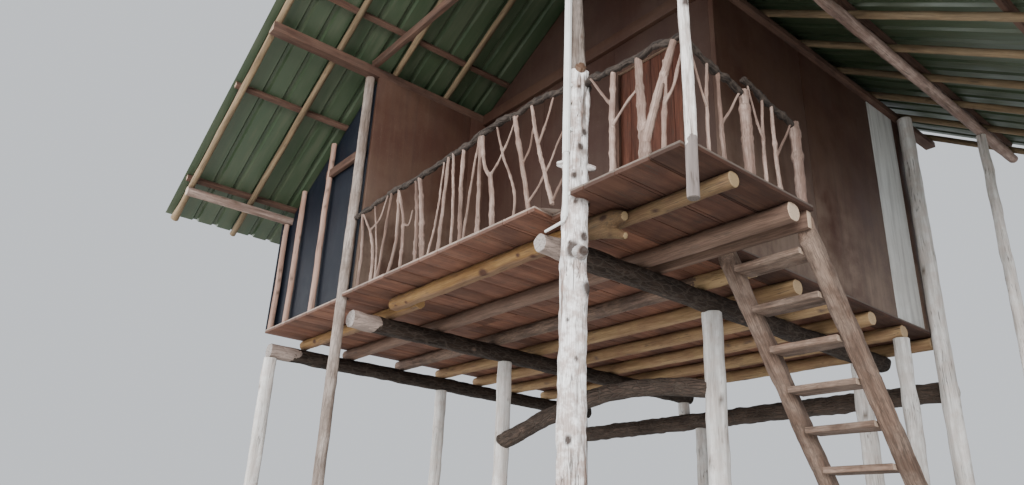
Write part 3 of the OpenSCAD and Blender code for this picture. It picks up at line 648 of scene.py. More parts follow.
@dataclass(frozen=True)
class WovenSheet(Finish):
    """A heavy sheet woven from flat tapes, with soft patches of dust."""

    tape: Colour = (0.005, 0.007, 0.012)
    dust: Colour = (0.022, 0.024, 0.03)

    def dress(self, g: Graph, shader: bpy.types.Node) -> None:
        """Weave, soft dust, a painted highlight on the tape crossings and a slight sheen.

        Args:
            g: The material's graph.
            shader: The shader.
        """
        at = g.grain()
        weave = effect(g, "tape_weave", Vector=at, Scale=55.0)
        weather = effect(g, "weathering", Scale=3.0)
        colour = g.mix(g.span(weather["Grime"], 0.35, 0.75, 0.0, 0.4), self.tape, self.dust)
        # Painted highlight: the raised crossings are mixed towards a lighter blue.
        colour = g.mix(g.times(weave["Shade"], 0.35), colour, (0.012, 0.015, 0.024))
        rough = g.span(weather["Grime"], 0.3, 0.7, 0.45, 0.7)
        self.surface(g, shader, colour, rough, weave["Height"], 0.0006, 0.12)


@dataclass(frozen=True)
class Plain(Finish):
    """A plain studio surface."""

    colour: Colour = (0.8, 0.8, 0.78)

    def dress(self, g: Graph, shader: bpy.types.Node) -> None:
        """One matt colour with the faintest mottling.

        Args:
            g: The material's graph.
            shader: The shader.
        """
        weather = effect(g, "weathering", Scale=0.3)
        share = g.times(weather["Patch"], 0.02)
        g.put(shader.inputs["Base Color"], g.mix(share, self.colour, (0.7, 0.7, 0.7)))
        shader.inputs["Roughness"].default_value = 0.9


PEELED = Wood(
    "peeled_log_wood", dark=(0.46, 0.43, 0.4), light=(0.86, 0.84, 0.81), patch=(0.56, 0.47, 0.42),
    patch_share=0.45,
    patch_scale=9.0, knot=(0.14, 0.11, 0.09), end=(0.62, 0.57, 0.5), fibre=0.3, knots=4.5, relief=0.002,
)
POST = Wood(
    "front_post_wood", dark=(0.2, 0.155, 0.135), light=(0.93, 0.91, 0.89), patch=(0.33, 0.225, 0.18),
    patch_share=0.68,
    patch_scale=13.0, tone_span=(0.33, 0.5), knot=(0.032, 0.02, 0.015), end=(0.5, 0.43, 0.38), fibre=0.5,
    knots=7.0, streaks=(3.9, 4.37),
    crack_share=0.85, relief=0.003,
)
NEWEL = Wood(
    "newel_pole_wood", dark=(0.3, 0.25, 0.22), light=(0.9, 0.87, 0.84), patch=(0.4, 0.31, 0.27),
    patch_share=0.4,
    tone_span=(0.3, 0.55),
    patch_scale=9.0, knot=(0.05, 0.035, 0.03), end=(0.05, 0.04, 0.035), fibre=0.45, knots=9.0, bark=0.12,
    bare=(0.24, 0.2, 0.185), bare_way=(0.0, 0.0, -1.0), bare_at=-3.44, relief=0.002,
)
FORK = Wood(
    "fork_log_wood", dark=(0.11, 0.065, 0.032), light=(0.21, 0.135, 0.066), patch=(0.15, 0.08, 0.045),
    patch_share=0.5,
    patch_scale=8.0, knot=(0.04, 0.018, 0.012), end=(0.34, 0.24, 0.13), fibre=0.4, knots=6.0, relief=0.002,
)
STUB = Wood(
    "cut_stub_wood", dark=(0.09, 0.055, 0.04), light=(0.24, 0.17, 0.13), patch=(0.2, 0.11, 0.06),
    end=(0.1, 0.055, 0.034),
    fibre=0.3, relief=0.001,
)
STUD = Wood(
    "bay_stud_wood", dark=(0.26, 0.15, 0.11), light=(0.45, 0.3, 0.24), patch=(0.36, 0.25, 0.2),
    patch_share=0.4,
    end=(0.45, 0.32, 0.25), fibre=0.3, relief=0.0009,
)
PART_PEELED = Wood(
    "part_peeled_joist_wood", dark=(0.06, 0.038, 0.028), light=(0.2, 0.13, 0.1), patch=(0.3, 0.2, 0.14),
    patch_share=0.35, patch_scale=4.0, end=(0.6, 0.46, 0.3), fibre=0.4, knots=6.0, bark=0.4,
    bare=(0.4, 0.27, 0.14), bare_at=0.94, relief=0.003,
)
BRANCH = Wood(
    "grey_branch_wood", dark=(0.14, 0.092, 0.073), light=(0.42, 0.31, 0.26), patch=(0.22, 0.14, 0.11),
    patch_share=0.6,
    patch_scale=11.0, end=(0.5, 0.38, 0.3), fibre=0.45, knots=16.0, relief=0.0008,
)
GNARLED = Wood(
    "gnarled_rail_wood", dark=(0.014, 0.01, 0.008), light=(0.05, 0.036, 0.029),
    patch=(0.095, 0.072, 0.06), patch_share=0.35,
    patch_scale=14.0, end=(0.4, 0.32, 0.26), fibre=0.5, knots=16.0, bark=0.6, relief=0.0022,
)
UPPER_POLE = Wood(
    "upper_pole_wood", dark=(0.16, 0.125, 0.105), light=(0.4, 0.34, 0.3), patch=(0.16, 0.115, 0.09),
    patch_share=0.55,
    patch_scale=6.0, end=(0.5, 0.28, 0.15), fibre=0.4, knots=8.0, bark=0.25, relief=0.002,
)
BARK = Wood(
    "bark_log_wood", dark=(0.03, 0.02, 0.015), light=(0.09, 0.06, 0.045), patch=(0.14, 0.1, 0.075),
    patch_share=0.35,
    patch_scale=6.0, end=(0.46, 0.42, 0.38), fibre=0.4, bark=0.8, relief=0.005, rough=0.85,
)
GIRDER = Wood(
    "girder_log_wood", dark=(0.015, 0.009, 0.006), light=(0.036, 0.022, 0.015),
    patch=(0.06, 0.038, 0.026), patch_share=0.25,
    patch_scale=9.0, end=(0.42, 0.37, 0.34), fibre=0.4, bark=0.55, bare=(0.35, 0.27, 0.23),
    bare_way=(0.0, -1.0, 0.0),
    bare_at=1.72, relief=0.004, rough=0.85,
)
# The front joist's under colour is painted shade on its downward faces.
OCHRE = Wood(
    "ochre_log_wood", dark=(0.13, 0.065, 0.02), light=(0.28, 0.165, 0.06), patch=(0.19, 0.1, 0.045),
    patch_share=0.4,
    under=(0.16, 0.095, 0.06),
    patch_scale=5.0, knot=(0.05, 0.02, 0.012), end=(0.36, 0.22, 0.1), fibre=0.35, knots=5.5, relief=0.0016,
)
BROWN_JOIST = Wood(
    "brown_joist_wood", dark=(0.1, 0.058, 0.042), light=(0.2, 0.125, 0.09), patch=(0.13, 0.085, 0.062),
    patch_share=0.35,
    patch_scale=4.0, end=(0.5, 0.38, 0.28), fibre=0.35, knots=6.0, relief=0.0018,
)
PALE_JOIST = Wood(
    "pale_joist_wood", dark=(0.2, 0.12, 0.06), light=(0.4, 0.27, 0.14), patch=(0.24, 0.13, 0.08),
    patch_share=0.4,
    patch_scale=4.0, end=(0.42, 0.3, 0.18), fibre=0.3, knots=6.0, relief=0.0016,
)
DECK = Wood(
    "deck_board_wood", dark=(0.12, 0.05, 0.031), light=(0.185, 0.084, 0.05),
    patch=(0.075, 0.035, 0.025), patch_share=0.6,
    patch_scale=3.4, end=(0.1, 0.055, 0.04), arris=(0.27, 0.21, 0.175), arris_z=3.489, fibre=0.25, knots=4.0,
    top=(0.36, 0.31, 0.27), relief=0.0014,
)
SAWN = Wood(
    "sawn_timber_wood", dark=(0.05, 0.025, 0.018), light=(0.12, 0.062, 0.042),
    patch=(0.15, 0.09, 0.065), patch_share=0.35,
    patch_scale=4.0, end=(0.34, 0.24, 0.17), fibre=0.4, knots=5.0, relief=0.0012,
)
TIE_BEAM = Wood(
    "tie_beam_wood", dark=(0.065, 0.033, 0.023), light=(0.14, 0.076, 0.052), patch=(0.1, 0.066, 0.05),
    patch_share=0.4,
    patch_scale=4.0, end=(0.45, 0.33, 0.24), fibre=0.4, knots=5.0, relief=0.0012,
)
POLE = Wood(
    "roof_pole_wood", dark=(0.12, 0.08, 0.045), light=(0.27, 0.19, 0.11), patch=(0.18, 0.14, 0.09),
    patch_share=0.4,
    patch_scale=4.0, end=(0.5, 0.36, 0.24), fibre=0.35, knots=7.0, relief=0.0012,
)
DOOR = Wood(
    "door_board_wood", dark=(0.07, 0.024, 0.015), light=(0.17, 0.062, 0.037), patch=(0.11, 0.05, 0.036),
    patch_share=0.4,
    patch_scale=3.0, end=(0.3, 0.16, 0.1), fibre=0.45, knots=4.0, relief=0.001,
)
STAIR = Wood(
    "stair_log_wood", dark=(0.075, 0.045, 0.032), light=(0.23, 0.15, 0.11), patch=(0.34, 0.26, 0.21),
    patch_share=0.35,
    patch_scale=5.0, end=(0.4, 0.3, 0.23), fibre=0.4, bark=0.3, relief=0.0025, rough=0.8,
)
WALL = PaintedWall("painted_wall_boards")
# A darker copy of the wall paint, as painted shade on the front walls and gables under the roof's overhang.
SHADED_FRONT_WALL = PaintedWall("front_wall_boards", paint=(0.045, 0.018, 0.012), worn=(0.074, 0.046, 0.033),
                         foot=(0.1, 0.066, 0.05))
# A near-white panel on the rear of the right wall.
PALE_PANEL = PaintedWall("white_painted_board", paint=(0.62, 0.62, 0.6), worn=(0.5, 0.48, 0.45),
                          foot=(0.45, 0.43, 0.4))
ROOF = PaintedSheet("green_roof_sheet")
IRON = Iron("dull_iron")
PIPE = Plastic("white_casing_plastic")
SCREEN = WovenSheet("dark_woven_sheet")


# Meshes


@dataclass
class Shape:
    """A mesh in the making, with what its finish reads at each point."""

    points: np.ndarray
    faces: Faces
    grain: np.ndarray
    tone: float = 0.5
    knot: np.ndarray | None = None
    cut: np.ndarray | None = None
    finish: int = 0

    @property
    def cut_faces(self) -> np.ndarray:
        """Which faces are sawn across the fibres, as 1.0 or 0.0 for each."""
        return np.zeros(len(self.faces)) if self.cut is None else self.cut


def clean_solid(node: str, flatten: bool = False) -> bmesh.types.BMesh:
    """A copy of a CAD node's mesh with its split corners joined again.

    Args:
        node: The CAD node's name.
        flatten: Whether coplanar triangles become one face.

    Returns:
        The copy.
    """
    bm = bmesh.new()
    bm.from_mesh(bpy.data.objects[node].data)
    bmesh.ops.remove_doubles(bm, verts=bm.verts, dist=2e-5)
    if flatten:
        bmesh.ops.dissolve_limit(bm, angle_limit=0.01, verts=bm.verts, edges=bm.edges)
    return bm


def mesh_of(points: np.ndarray, faces: Faces) -> bmesh.types.BMesh:
    """A mesh with these points and faces.

    Args:
        points: The points.
        faces: The faces.

    Returns:
        The mesh.
    """
    bm = bmesh.new()
    verts = [bm.verts.new(p) for p in points]
    for f in faces:
        bm.faces.new([verts[i] for i in f])
    return bm


def cut_off(bm: bmesh.types.BMesh, at: Sequence[float], normal: Sequence[float]) -> None:
    """Cuts off what lies past a plane, and closes the hole.

    Args:
        bm: The mesh.
        at: A point of the plane.
        normal: The plane's normal, towards what goes.
    """
    bmesh.ops.bisect_plane(bm, geom=bm.verts[:] + bm.edges[:] + bm.faces[:], dist=1e-6,
                           plane_co=at, plane_no=normal, clear_outer=True)
    open_edges = [e for e in bm.edges if e.is_boundary]
    if open_edges:
        bmesh.ops.holes_fill(bm, edges=open_edges)


def arrays(bm: bmesh.types.BMesh) -> Solid:
    """The points and faces of a mesh, which is then freed.

    Args:
        bm: The mesh.

    Returns:
        The points and the faces.
    """
    bm.verts.index_update()
    points = np.array([v.co for v in bm.verts], float).reshape(-1, 3)
    faces = [tuple(v.index for v in f.verts) for f in bm.faces]
    bm.free()
    return points, faces


def loose_parts(points: np.ndarray, faces: Faces) -> list[Solid]:
    """Splits a mesh into its separate solids, in the order of their places.

    Args:
        points: The mesh's points.
        faces: The mesh's faces.

    Returns:
        The points and faces of each solid.
    """
    root = list(range(len(points)))

    def find(i: int) -> int:
        """The lowest point that i is joined to so far."""
        while root[i] != i:
            root[i] = root[root[i]]
            i = root[i]
        return i

    for f in faces:
        for k in f[1:]:
            a, b = find(f[0]), find(k)
            root[max(a, b)] = min(a, b)
    group: dict[int, list[int]] = {}
    for i in range(len(points)):
        group.setdefault(find(i), []).append(i)
    parts = []
    for members in group.values():
        number = {i: k for k, i in enumerate(members)}
        own = [tuple(number[i] for i in f) for f in faces if f[0] in number]
        parts.append((points[members], own))
    parts.sort(key=lambda part: tuple(np.round(part[0].mean(0), 2)))
    return parts


def solids(node: str, flatten: bool = False) -> list[Solid]:
    """The separate solids of a CAD node, flattened or not."""
    return loose_parts(*arrays(clean_solid(node, flatten)))


def long_axis(points: np.ndarray) -> np.ndarray:
    """The direction of a solid's length, set to a world axis where it is close to one.

    Args:
        points: The solid's points.

    Returns:
        The direction.
    """
    axis = np.linalg.svd(points - points.mean(0), full_matrices=False)[2][0]
    main = int(np.argmax(np.abs(axis)))
    axis = axis * np.sign(axis[main])
    return np.eye(3)[main] if axis[main] > 0.97 else axis


def side_axes(axis: np.ndarray) -> tuple[np.ndarray, np.ndarray]:
    """Two directions square to an axis and to each other.

    Args:
        axis: The axis.

    Returns:
        The two directions.
    """
    ref = np.array([0.0, 0.0, 1.0]) if abs(axis[2]) < 0.7 else np.array([1.0, 0.0, 0.0])
    a = np.cross(ref, axis)
    a = a / np.linalg.norm(a)
    return a, np.cross(axis, a)


def end_faces(points: np.ndarray, faces: Faces, axis: np.ndarray, least: float = 0.6) -> np.ndarray:
    """Marks the faces that lie across an axis.

    Args:
        points: The mesh's points.
        faces: The mesh's faces.
        axis: The axis.
        least: The smallest share of a face's normal that runs along the axis.

    Returns:
        1.0 for a face that lies across, else 0.0.
    """
    corners = points[np.array([f[:3] for f in faces])]
    normals = np.cross(corners[:, 1] - corners[:, 0], corners[:, 2] - corners[:, 0])
    return (np.abs(normals @ axis) > least * np.linalg.norm(normals, axis=1) + 1e-12).astype(float)


def between(points: np.ndarray, faces: Faces, way: np.ndarray, low: float | None,
            high: float | None) -> list[Solid]:
    """Cuts out the part of a solid that lies between two planes.

    Args:
        points: The solid's points.
        faces: The solid's faces.
        way: The planes' normal.
        low: The lower plane's place along the normal, or None for no cut there.
        high: The upper plane's place, or None.

    Returns:
        The points and faces of each piece that is left.
    """
    bm = mesh_of(points, faces)
    normal = Vector(way)
    for at, side in ((low, -1), (high, 1)):
        if at is not None and bm.verts:
            cut_off(bm, normal * at, normal * side)
    return loose_parts(*arrays(bm))


def ring_faces(rings: int, sides: int) -> Faces:
    """The faces of a closed tube, whose last two points are the middles of its ends.

    Args:
        rings: The number of its rings.
        sides: The number of points in a ring.

    Returns:
        The faces, those of the ends last.
    """
    faces: Faces = []
    after = [(j + 1) % sides for j in range(sides)]
    for i in range(rings - 1):
        for j, k in enumerate(after):
            faces.append((i * sides + j, i * sides + k, (i + 1) * sides + k, (i + 1) * sides + j))
    top = rings * sides
    for j, k in enumerate(after):
        faces.append((top, k, j))
        faces.append((top + 1, top - sides + j, top - sides + k))
    return faces


def place(name: str, shapes: Sequence[Shape], finishes: Sequence[Finish], slot: str, node: str,
          body: str = HOUSE, sharp: float = ROUND_EDGE) -> bpy.types.Object:
    """Makes one piece of the house from its shapes.

    Args:
        name: The piece's name.
        shapes: What it is made of.
        finishes: Its materials, by a shape's finish number.
        slot: The name of a material slot; it is not used.
        node: The CAD node that it replaces.
        body: The body that it rides on.
        sharp: The angle in radians from which an edge is shaded as sharp.

    Returns:
        The new object.
    """
    start, points, faces, which = 0, [], [], []
    for s in shapes:
        points.append(s.points)
        faces += [tuple(i + start for i in f) for f in s.faces]
        which += [s.finish] * len(s.faces)
        start += len(s.points)
    mesh = bpy.data.meshes.new(name)
    mesh.from_pydata(np.concatenate(points).tolist(), [], faces)
    mesh.update()
    zeros = [np.zeros(len(s.points)) for s in shapes]
    values = {
        "tone": [np.full(len(s.points), s.tone) for s in shapes],
        "knot": [z if s.knot is None else s.knot for s, z in zip(shapes, zeros)],
    }
    for key, parts in values.items():
        layer = mesh.attributes.new(key, "FLOAT", "POINT")
        layer.data.foreach_set("value", np.concatenate(parts).astype(np.float32))
    layer = mesh.attributes.new("cut", "FLOAT", "FACE")
    layer.data.foreach_set("value", np.concatenate([s.cut_faces for s in shapes]).astype(np.float32))
    layer = mesh.attributes.new("grain", "FLOAT_VECTOR", "POINT")
    layer.data.foreach_set("vector", np.concatenate([s.grain for s in shapes]).astype(np.float32).ravel())
    for finish in finishes:
        mesh.materials.append(finish.material())
    mesh.polygons.foreach_set("material_index", which)
    mesh.shade_smooth()
    mesh.set_sharp_from_angle(angle=sharp)
    piece = bpy.data.objects.new(name, mesh)
    bpy.context.scene.collection.objects.link(piece)
    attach(piece, body)
    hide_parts(node)
    LOG.info("%s: %d points", name, len(mesh.vertices))
    return piece


def finish_node(node: str, finish: Finish) -> None:
    """Gives a CAD node that keeps its own shape a finished material.

    Args:
        node: The node's name.
        finish: The finish.
    """
    piece = bpy.data.objects[node]
    piece.data.materials.clear()
    piece.data.materials.append(finish.material())


def eased(values: np.ndarray, times: int, wrap: bool) -> np.ndarray:
    """Averages each row of an array with its neighbours, a few times over.

    Args:
        values: The array; its first axis is averaged.
        times: How often.
        wrap: Whether the last row is next to the first.

    Returns:
        The smoother array.
    """
    for _ in range(times):
        if wrap:
            before, after = np.roll(values, 1, 0), np.roll(values, -1, 0)
        else:
            before = np.concatenate([values[:1], values[:-1]])
            after = np.concatenate([values[1:], values[-1:]])
        values = (before + 2 * values + after) / 4
    return values


@dataclass
class Knot:
    """A knot on a log: its place along the log, its turn round it, its size and how far it stands out."""

    at: float
    turn: float
    size: float = 0.02
    rise: float = 0.006
    dent: float = 0.004


class Timber:
    """Turns the solids of a CAD node into timber."""

    flatten: ClassVar[bool] = False

    def shape(self, points: np.ndarray, faces: Faces, rng: np.random.Generator,
              tone: float = 0.5, finish: int = 0) -> Shape:
        """Builds one timber; each kind has its own way.

        Args:
            points: The solid's points.
            faces: The solid's faces.
            rng: The source of its unevenness.
            tone: How light it is, from 0 to 1.
            finish: Its finish number in the piece.

        Returns:
            The shape.
        """
        raise NotImplementedError

    def node_shapes(self, node: str, seed: int, tone: float = 0.5, spread: float = 0.12) -> list[Shape]:
        """The timbers of one CAD node.

        Args:
            node: The CAD node's name.
            seed: The seed of their unevenness.
            tone: How light they are, from 0 to 1.
            spread: How much they differ.

        Returns:
            One shape for each solid.
        """
        rng = np.random.default_rng(seed)
        return [self.shape(*solid, rng, tone + rng.uniform(-spread, spread))
                for solid in solids(node, self.flatten)]


@dataclass
class RoundTimber(Timber):
    """Turns a CAD log into a natural one: the same line, girth and hewn faces, with an uneven skin."""

    pitch: float = 0.035
    sides: int = 26
    uneven: float = 0.0022
    flutes: float = 0.0016
    knots_per_metre: float = 1.6
    knot_rise: float = 0.005
    trim: tuple[float, float] = (0.0, 0.0)
    chamfer: float = 0.004
    easing: int = 2
    widest: float = 9.0

    def measure(self, points: np.ndarray, faces: Faces, axis: np.ndarray,
                stations: np.ndarray, angles: np.ndarray) -> tuple[np.ndarray, np.ndarray]:
        """Finds the log's centre line and its radius in each direction.

        Args:
            points: The solid's points.
            faces: The solid's faces.
            axis: The log's direction.
            stations: The distances along the axis at which it is cut.
            angles: The turns at which it is measured.

        Returns:
            The centres and the radii.
        """
        tree = BVHTree.FromPolygons(points.tolist(), faces)
        a, b = side_axes(axis)
        ways = [Vector(math.cos(t) * a + math.sin(t) * b) for t in angles]
        along = points @ axis
        near = points[np.abs(along - stations[0]) < max(0.12, np.ptp(along) * 0.1)]
        guess = near.mean(0) if len(near) else points.mean(0)
        centres, radii = [], []
        last = np.full(len(angles), 0.05)
        for t in stations:
            guess = guess + axis * (t - guess @ axis)
            for _ in range(2):
                hits = [tree.ray_cast(Vector(guess), way) for way in ways]
                if all(h[0] is not None for h in hits):
                    last = np.minimum([h[3] for h in hits], self.widest)
                    found = np.array([guess + np.array(way) * r for way, r in zip(ways, last)])
                    middle = (found + np.roll(found, 1, 0)) / 2
                    weight = np.linalg.norm(found - np.roll(found, 1, 0), axis=1)
                    guess = (middle * weight[:, None]).sum(0) / weight.sum()
                    guess = guess + axis * (t - guess @ axis)
            centres.append(guess)
            radii.append(last)
        return np.array(centres), np.array(radii)

    def skin(self, along: np.ndarray, angles: np.ndarray, rng: np.random.Generator) -> np.ndarray:
        """How far the skin stands out.

        Args:
            along: The places of the rings along the log.
            angles: The directions round the log.
            rng: The source of the unevenness.

        Returns:
            The distance in metres, for each ring and direction.
        """
        field_ = np.zeros((len(along), len(angles)))
        for count, amplitude, shortest, longest in ((10, self.uneven, 0.25, 1.2),
                                                    (14, self.flutes, 0.12, 0.9)):
            for _ in range(count):
                lobes = rng.integers(1, 4) if amplitude is self.uneven else rng.integers(3, 9)
                wave = math.exp(rng.uniform(math.log(shortest), math.log(longest)))
                phase, turn, size = rng.uniform(0, 6.28), rng.uniform(0, 6.28), rng.normal()
                drift = 0.6 * np.sin(along / wave * 2.1 + phase)
                field_ += (size * amplitude / math.sqrt(count)
                           * np.cos(lobes * (angles[None, :] + drift[:, None]) + turn)
                           * np.cos(2 * math.pi * along / wave + phase)[:, None])
        return field_

    def shape(self, points: np.ndarray, faces: Faces, rng: np.random.Generator, tone: float = 0.5,
              finish: int = 0, marks: Sequence[Knot] = ()) -> Shape:
        """Builds the natural log.

        Args:
            points: The CAD solid's points.
            faces: The CAD solid's faces.
            rng: The source of its unevenness.
            tone: How light it is, from 0 to 1.
            finish: Its finish number in the piece.
            marks: Knots at known places, beside the scattered ones.

        Returns:
            The shape.
        """
        axis = long_axis(points)
        a, b = side_axes(axis)
        low, high = (points @ axis).min(), (points @ axis).max()
        count = max(4, int(round((high - low) / self.pitch)))
        along = np.linspace(low, high, count + 1)
        angles = np.arange(self.sides) * 2 * math.pi / self.sides
        inner = np.clip(along, low + self.trim[0] + 1e-4, high - self.trim[1] - 1e-4)
        centres, radii = self.measure(points, faces, axis, inner, angles)
        ends_in = (along < inner[0] + 1e-9) | (along > inner[-1] - 1e-9)
        centres = centres + axis * (along - centres @ axis)[:, None]
        radii = eased(eased(radii.T, self.easing, True).T, 3 if not ends_in.sum() > 2 else 1, False)
        centres = eased(centres, 3, False)
        centres = centres + axis * (along - centres @ axis)[:, None]
        radii = radii + self.skin(along, angles, rng)
        knot = np.zeros_like(radii)
        spots = list(marks)
        for _ in range(int(round((high - low) * self.knots_per_metre))):
            spots.append(Knot(rng.uniform(low + 0.08, high - 0.08), rng.uniform(0, 6.28),
                              rng.uniform(0.01, 0.02), rng.uniform(0.4, 1.0) * self.knot_rise, 0.002))
        for s in spots:
            round_ = np.abs((angles - s.turn + math.pi) % (2 * math.pi) - math.pi)[None, :] * radii
            run = (along - s.at)[:, None]
            far = (round_ / s.size) ** 2 + (run / (1.5 * s.size)) ** 2
            radii = radii + s.rise * np.exp(-far / 2) - s.dent * np.exp(-far * 4)
            knot = np.maximum(knot, np.clip(2.4 * np.exp(-far * 1.3) - 0.1, 0, 1))
        return self.loft(centres, radii, angles, a, b, axis, knot, rng, tone, finish)

    def loft(self, centres: np.ndarray, radii: np.ndarray, angles: np.ndarray, a: np.ndarray,
             b: np.ndarray, axis: np.ndarray, knot: np.ndarray, rng: np.random.Generator,
             tone: float, finish: int) -> Shape:
        """Skins the rings and closes both ends with a small chamfer.

        Args:
            centres: The middle of each ring.
            radii: The radius of each ring in each direction.
            angles: The directions round the log.
            a: The direction of angle 0.
            b: The direction of a quarter turn.
            axis: The log's direction.
            knot: How much of a knot each point is.
            rng: The source of the grain's place.
            tone: How light the log is, from 0 to 1.
            finish: Its finish number in the piece.

        Returns:
            The shape.
        """
        chamfer = self.chamfer
        first, last = centres[0] + axis * chamfer, centres[-1] - axis * chamfer
        centres = np.concatenate([centres[:1], [first], centres[1:-1], [last], centres[-1:]])
        radii = np.concatenate([radii[:1] - chamfer, radii, radii[-1:] - chamfer])
        knot = np.concatenate([knot[:1], knot, knot[-1:]])
        rings, sides = radii.shape
        way = np.cos(angles)[:, None] * a + np.sin(angles)[:, None] * b
        points = (centres[:, None, :] + radii[:, :, None] * way[None, :, :]).reshape(-1, 3)
        run = centres @ axis
        grain = np.stack([radii * np.cos(angles), radii * np.sin(angles),
                          np.repeat(run[:, None], sides, 1)], 2).reshape(-1, 3)
        heart = np.array([[0, 0, run[0]], [0, 0, run[-1]]])
        points = np.concatenate([points, centres[:1], centres[-1:]])
        grain = np.concatenate([grain, heart]) + np.array([0, 0, rng.uniform(0, 40)])
        faces = ring_faces(rings, sides)
        top = rings * sides
        cut = np.zeros(len(faces))
        cut[:sides] = cut[-3 * sides:] = 1.0
        mask = np.concatenate([knot.ravel(), [0.0, 0.0]])
        mask[:sides] = mask[top - sides:] = 0.0
        return Shape(points, faces, grain, tone, mask, cut, finish)


@dataclass
class SawnTimber(Timber):
    """Turns a CAD solid into sawn timber: eased edges, slight waves and a grain of its own."""

    flatten: ClassVar[bool] = True
    bevel: float = 0.004
    pitch: float = 0.25
    waves: float = 0.0015
    along: Along | None = None

    def shape(self, points: np.ndarray, faces: Faces, rng: np.random.Generator,
              tone: float = 0.5, finish: int = 0) -> Shape:
        """Builds one board or beam.

        Args:
            points: The solid's points.
            faces: The solid's faces.
            rng: The source of its unevenness.
            tone: How light it is, from 0 to 1.
            finish: Its finish number in the piece.

        Returns:
            The shape.
        """
        axis = self.along.vector if self.along else long_axis(points)
        bm = mesh_of(points, faces)
        bmesh.ops.recalc_face_normals(bm, faces=bm.faces)
        bmesh.ops.dissolve_limit(bm, angle_limit=0.01, verts=bm.verts, edges=bm.edges)
        along = points @ axis
        low, high = along.min(), along.max()
        corners = [e for e in bm.edges if e.is_manifold and e.calc_face_angle() > 0.6]
        bmesh.ops.bevel(bm, geom=corners, offset=self.bevel, segments=2, profile=0.6,
                        affect="EDGES", clamp_overlap=True)
        for t in np.arange(low + self.pitch, high - self.pitch / 2, self.pitch):
            everything = bm.verts[:] + bm.edges[:] + bm.faces[:]
            bmesh.ops.bisect_plane(bm, geom=everything, dist=1e-6, plane_co=Vector(axis * t),
                                   plane_no=Vector(axis))
        bmesh.ops.triangulate(bm, faces=[f for f in bm.faces if len(f.verts) > 4])
        points, faces = arrays(bm)
        a, b = side_axes(axis)
        shift = rng.uniform(-20, 20, 3)
        middle = points.mean(0)
        grain = np.stack([(points - middle) @ a, (points - middle) @ b, points @ axis], 1) + shift
        grain[:, :2] += rng.uniform(0.05, 0.2, 2)
        cut = end_faces(points, faces, axis)
        seed = Vector(shift)
        sway = np.array([noise.noise_vector(Vector(p) * 2.3 + seed) for p in points])
        sway -= np.outer(sway @ axis, axis)
        return Shape(points + sway * self.waves, faces, grain, tone, None, cut, finish)


@dataclass
class BoardRow:
    """Saws a CAD slab into boards that keep its outline, its holes and its notches."""

    width: float = 0.25
    gap: float = 0.006
    across: Along = Along.X
    timber: SawnTimber = field(default_factory=SawnTimber)
    tone_spread: float = 0.25

    def lines(self, points: np.ndarray) -> list[float]:
        """The places of even joints across a slab.

        Args:
            points: The slab's points.

        Returns:
            The places, with both outer edges.
        """
        run = points @ self.across.vector
        count = max(1, int(round(np.ptp(run) / self.width)))
        return list(np.linspace(run.min(), run.max(), count + 1))

    def boards(self, points: np.ndarray, faces: Faces, rng: np.random.Generator,
               lines: Sequence[float] | None = None, tone: float = 0.5) -> list[Shape]:
        """Saws one slab along the given joints.

        Args:
            points: The slab's points.
            faces: The slab's faces.
            rng: The source of the boards' tones and unevenness.
            lines: The places of the joints, with both outer edges, or None for even boards.
            tone: How light the boards are, from 0 to 1.

        Returns:
            One shape for each board.
        """
        lines = lines or self.lines(points)
        made = []
        for low, high in zip(lines[:-1], lines[1:]):
            start = None if low == lines[0] else low + self.gap / 2
            end = None if high == lines[-1] else high - self.gap / 2
            for part in between(points, faces, self.across.vector, start, end):
                own_tone = tone + rng.uniform(-self.tone_spread, self.tone_spread)
                made.append(self.timber.shape(*part, rng, own_tone))
        return made


def box_solid(low: Sequence[float], high: Sequence[float]) -> Solid:
    """A box between two corners.

    Args:
        low: The corner with the smallest numbers.
        high: The corner with the largest.

    Returns:
        Its points and faces.
    """
    ends = (low, high)
    points = np.array([(ends[i][0], ends[j][1], ends[k][2]) for i in (0, 1) for j in (0, 1) for k in (0, 1)])
    return points, [(0, 1, 3, 2), (4, 6, 7, 5), (0, 4, 5, 1), (2, 3, 7, 6), (0, 2, 6, 4), (1, 5, 7, 3)]


def spline(stations: np.ndarray, step: float) -> np.ndarray:
    """Points close together on a smooth curve through the stations.

    Args:
        stations: Rows of x, y, z and radius.
        step: The distance between two points.

    Returns:
        The rows of the denser line.
    """
    ends = np.concatenate([[2 * stations[0] - stations[1]], stations, [2 * stations[-1] - stations[-2]]])
    ends[0, 3], ends[-1, 3] = stations[0, 3], stations[-1, 3]
    rows = []
    for p0, p1, p2, p3 in zip(ends[:-3], ends[1:-2], ends[2:-1], ends[3:]):
        count = max(2, int(round(np.linalg.norm((p2 - p1)[:3]) / step)))
        for t in np.arange(count) / count:
            rows.append(0.5 * (2 * p1 + (p2 - p0) * t + (2 * p0 - 5 * p1 + 4 * p2 - p3) * t ** 2
                               + (3 * p1 - p0 - 3 * p2 + p3) * t ** 3))
    rows.append(stations[-1])
    return np.array(rows)


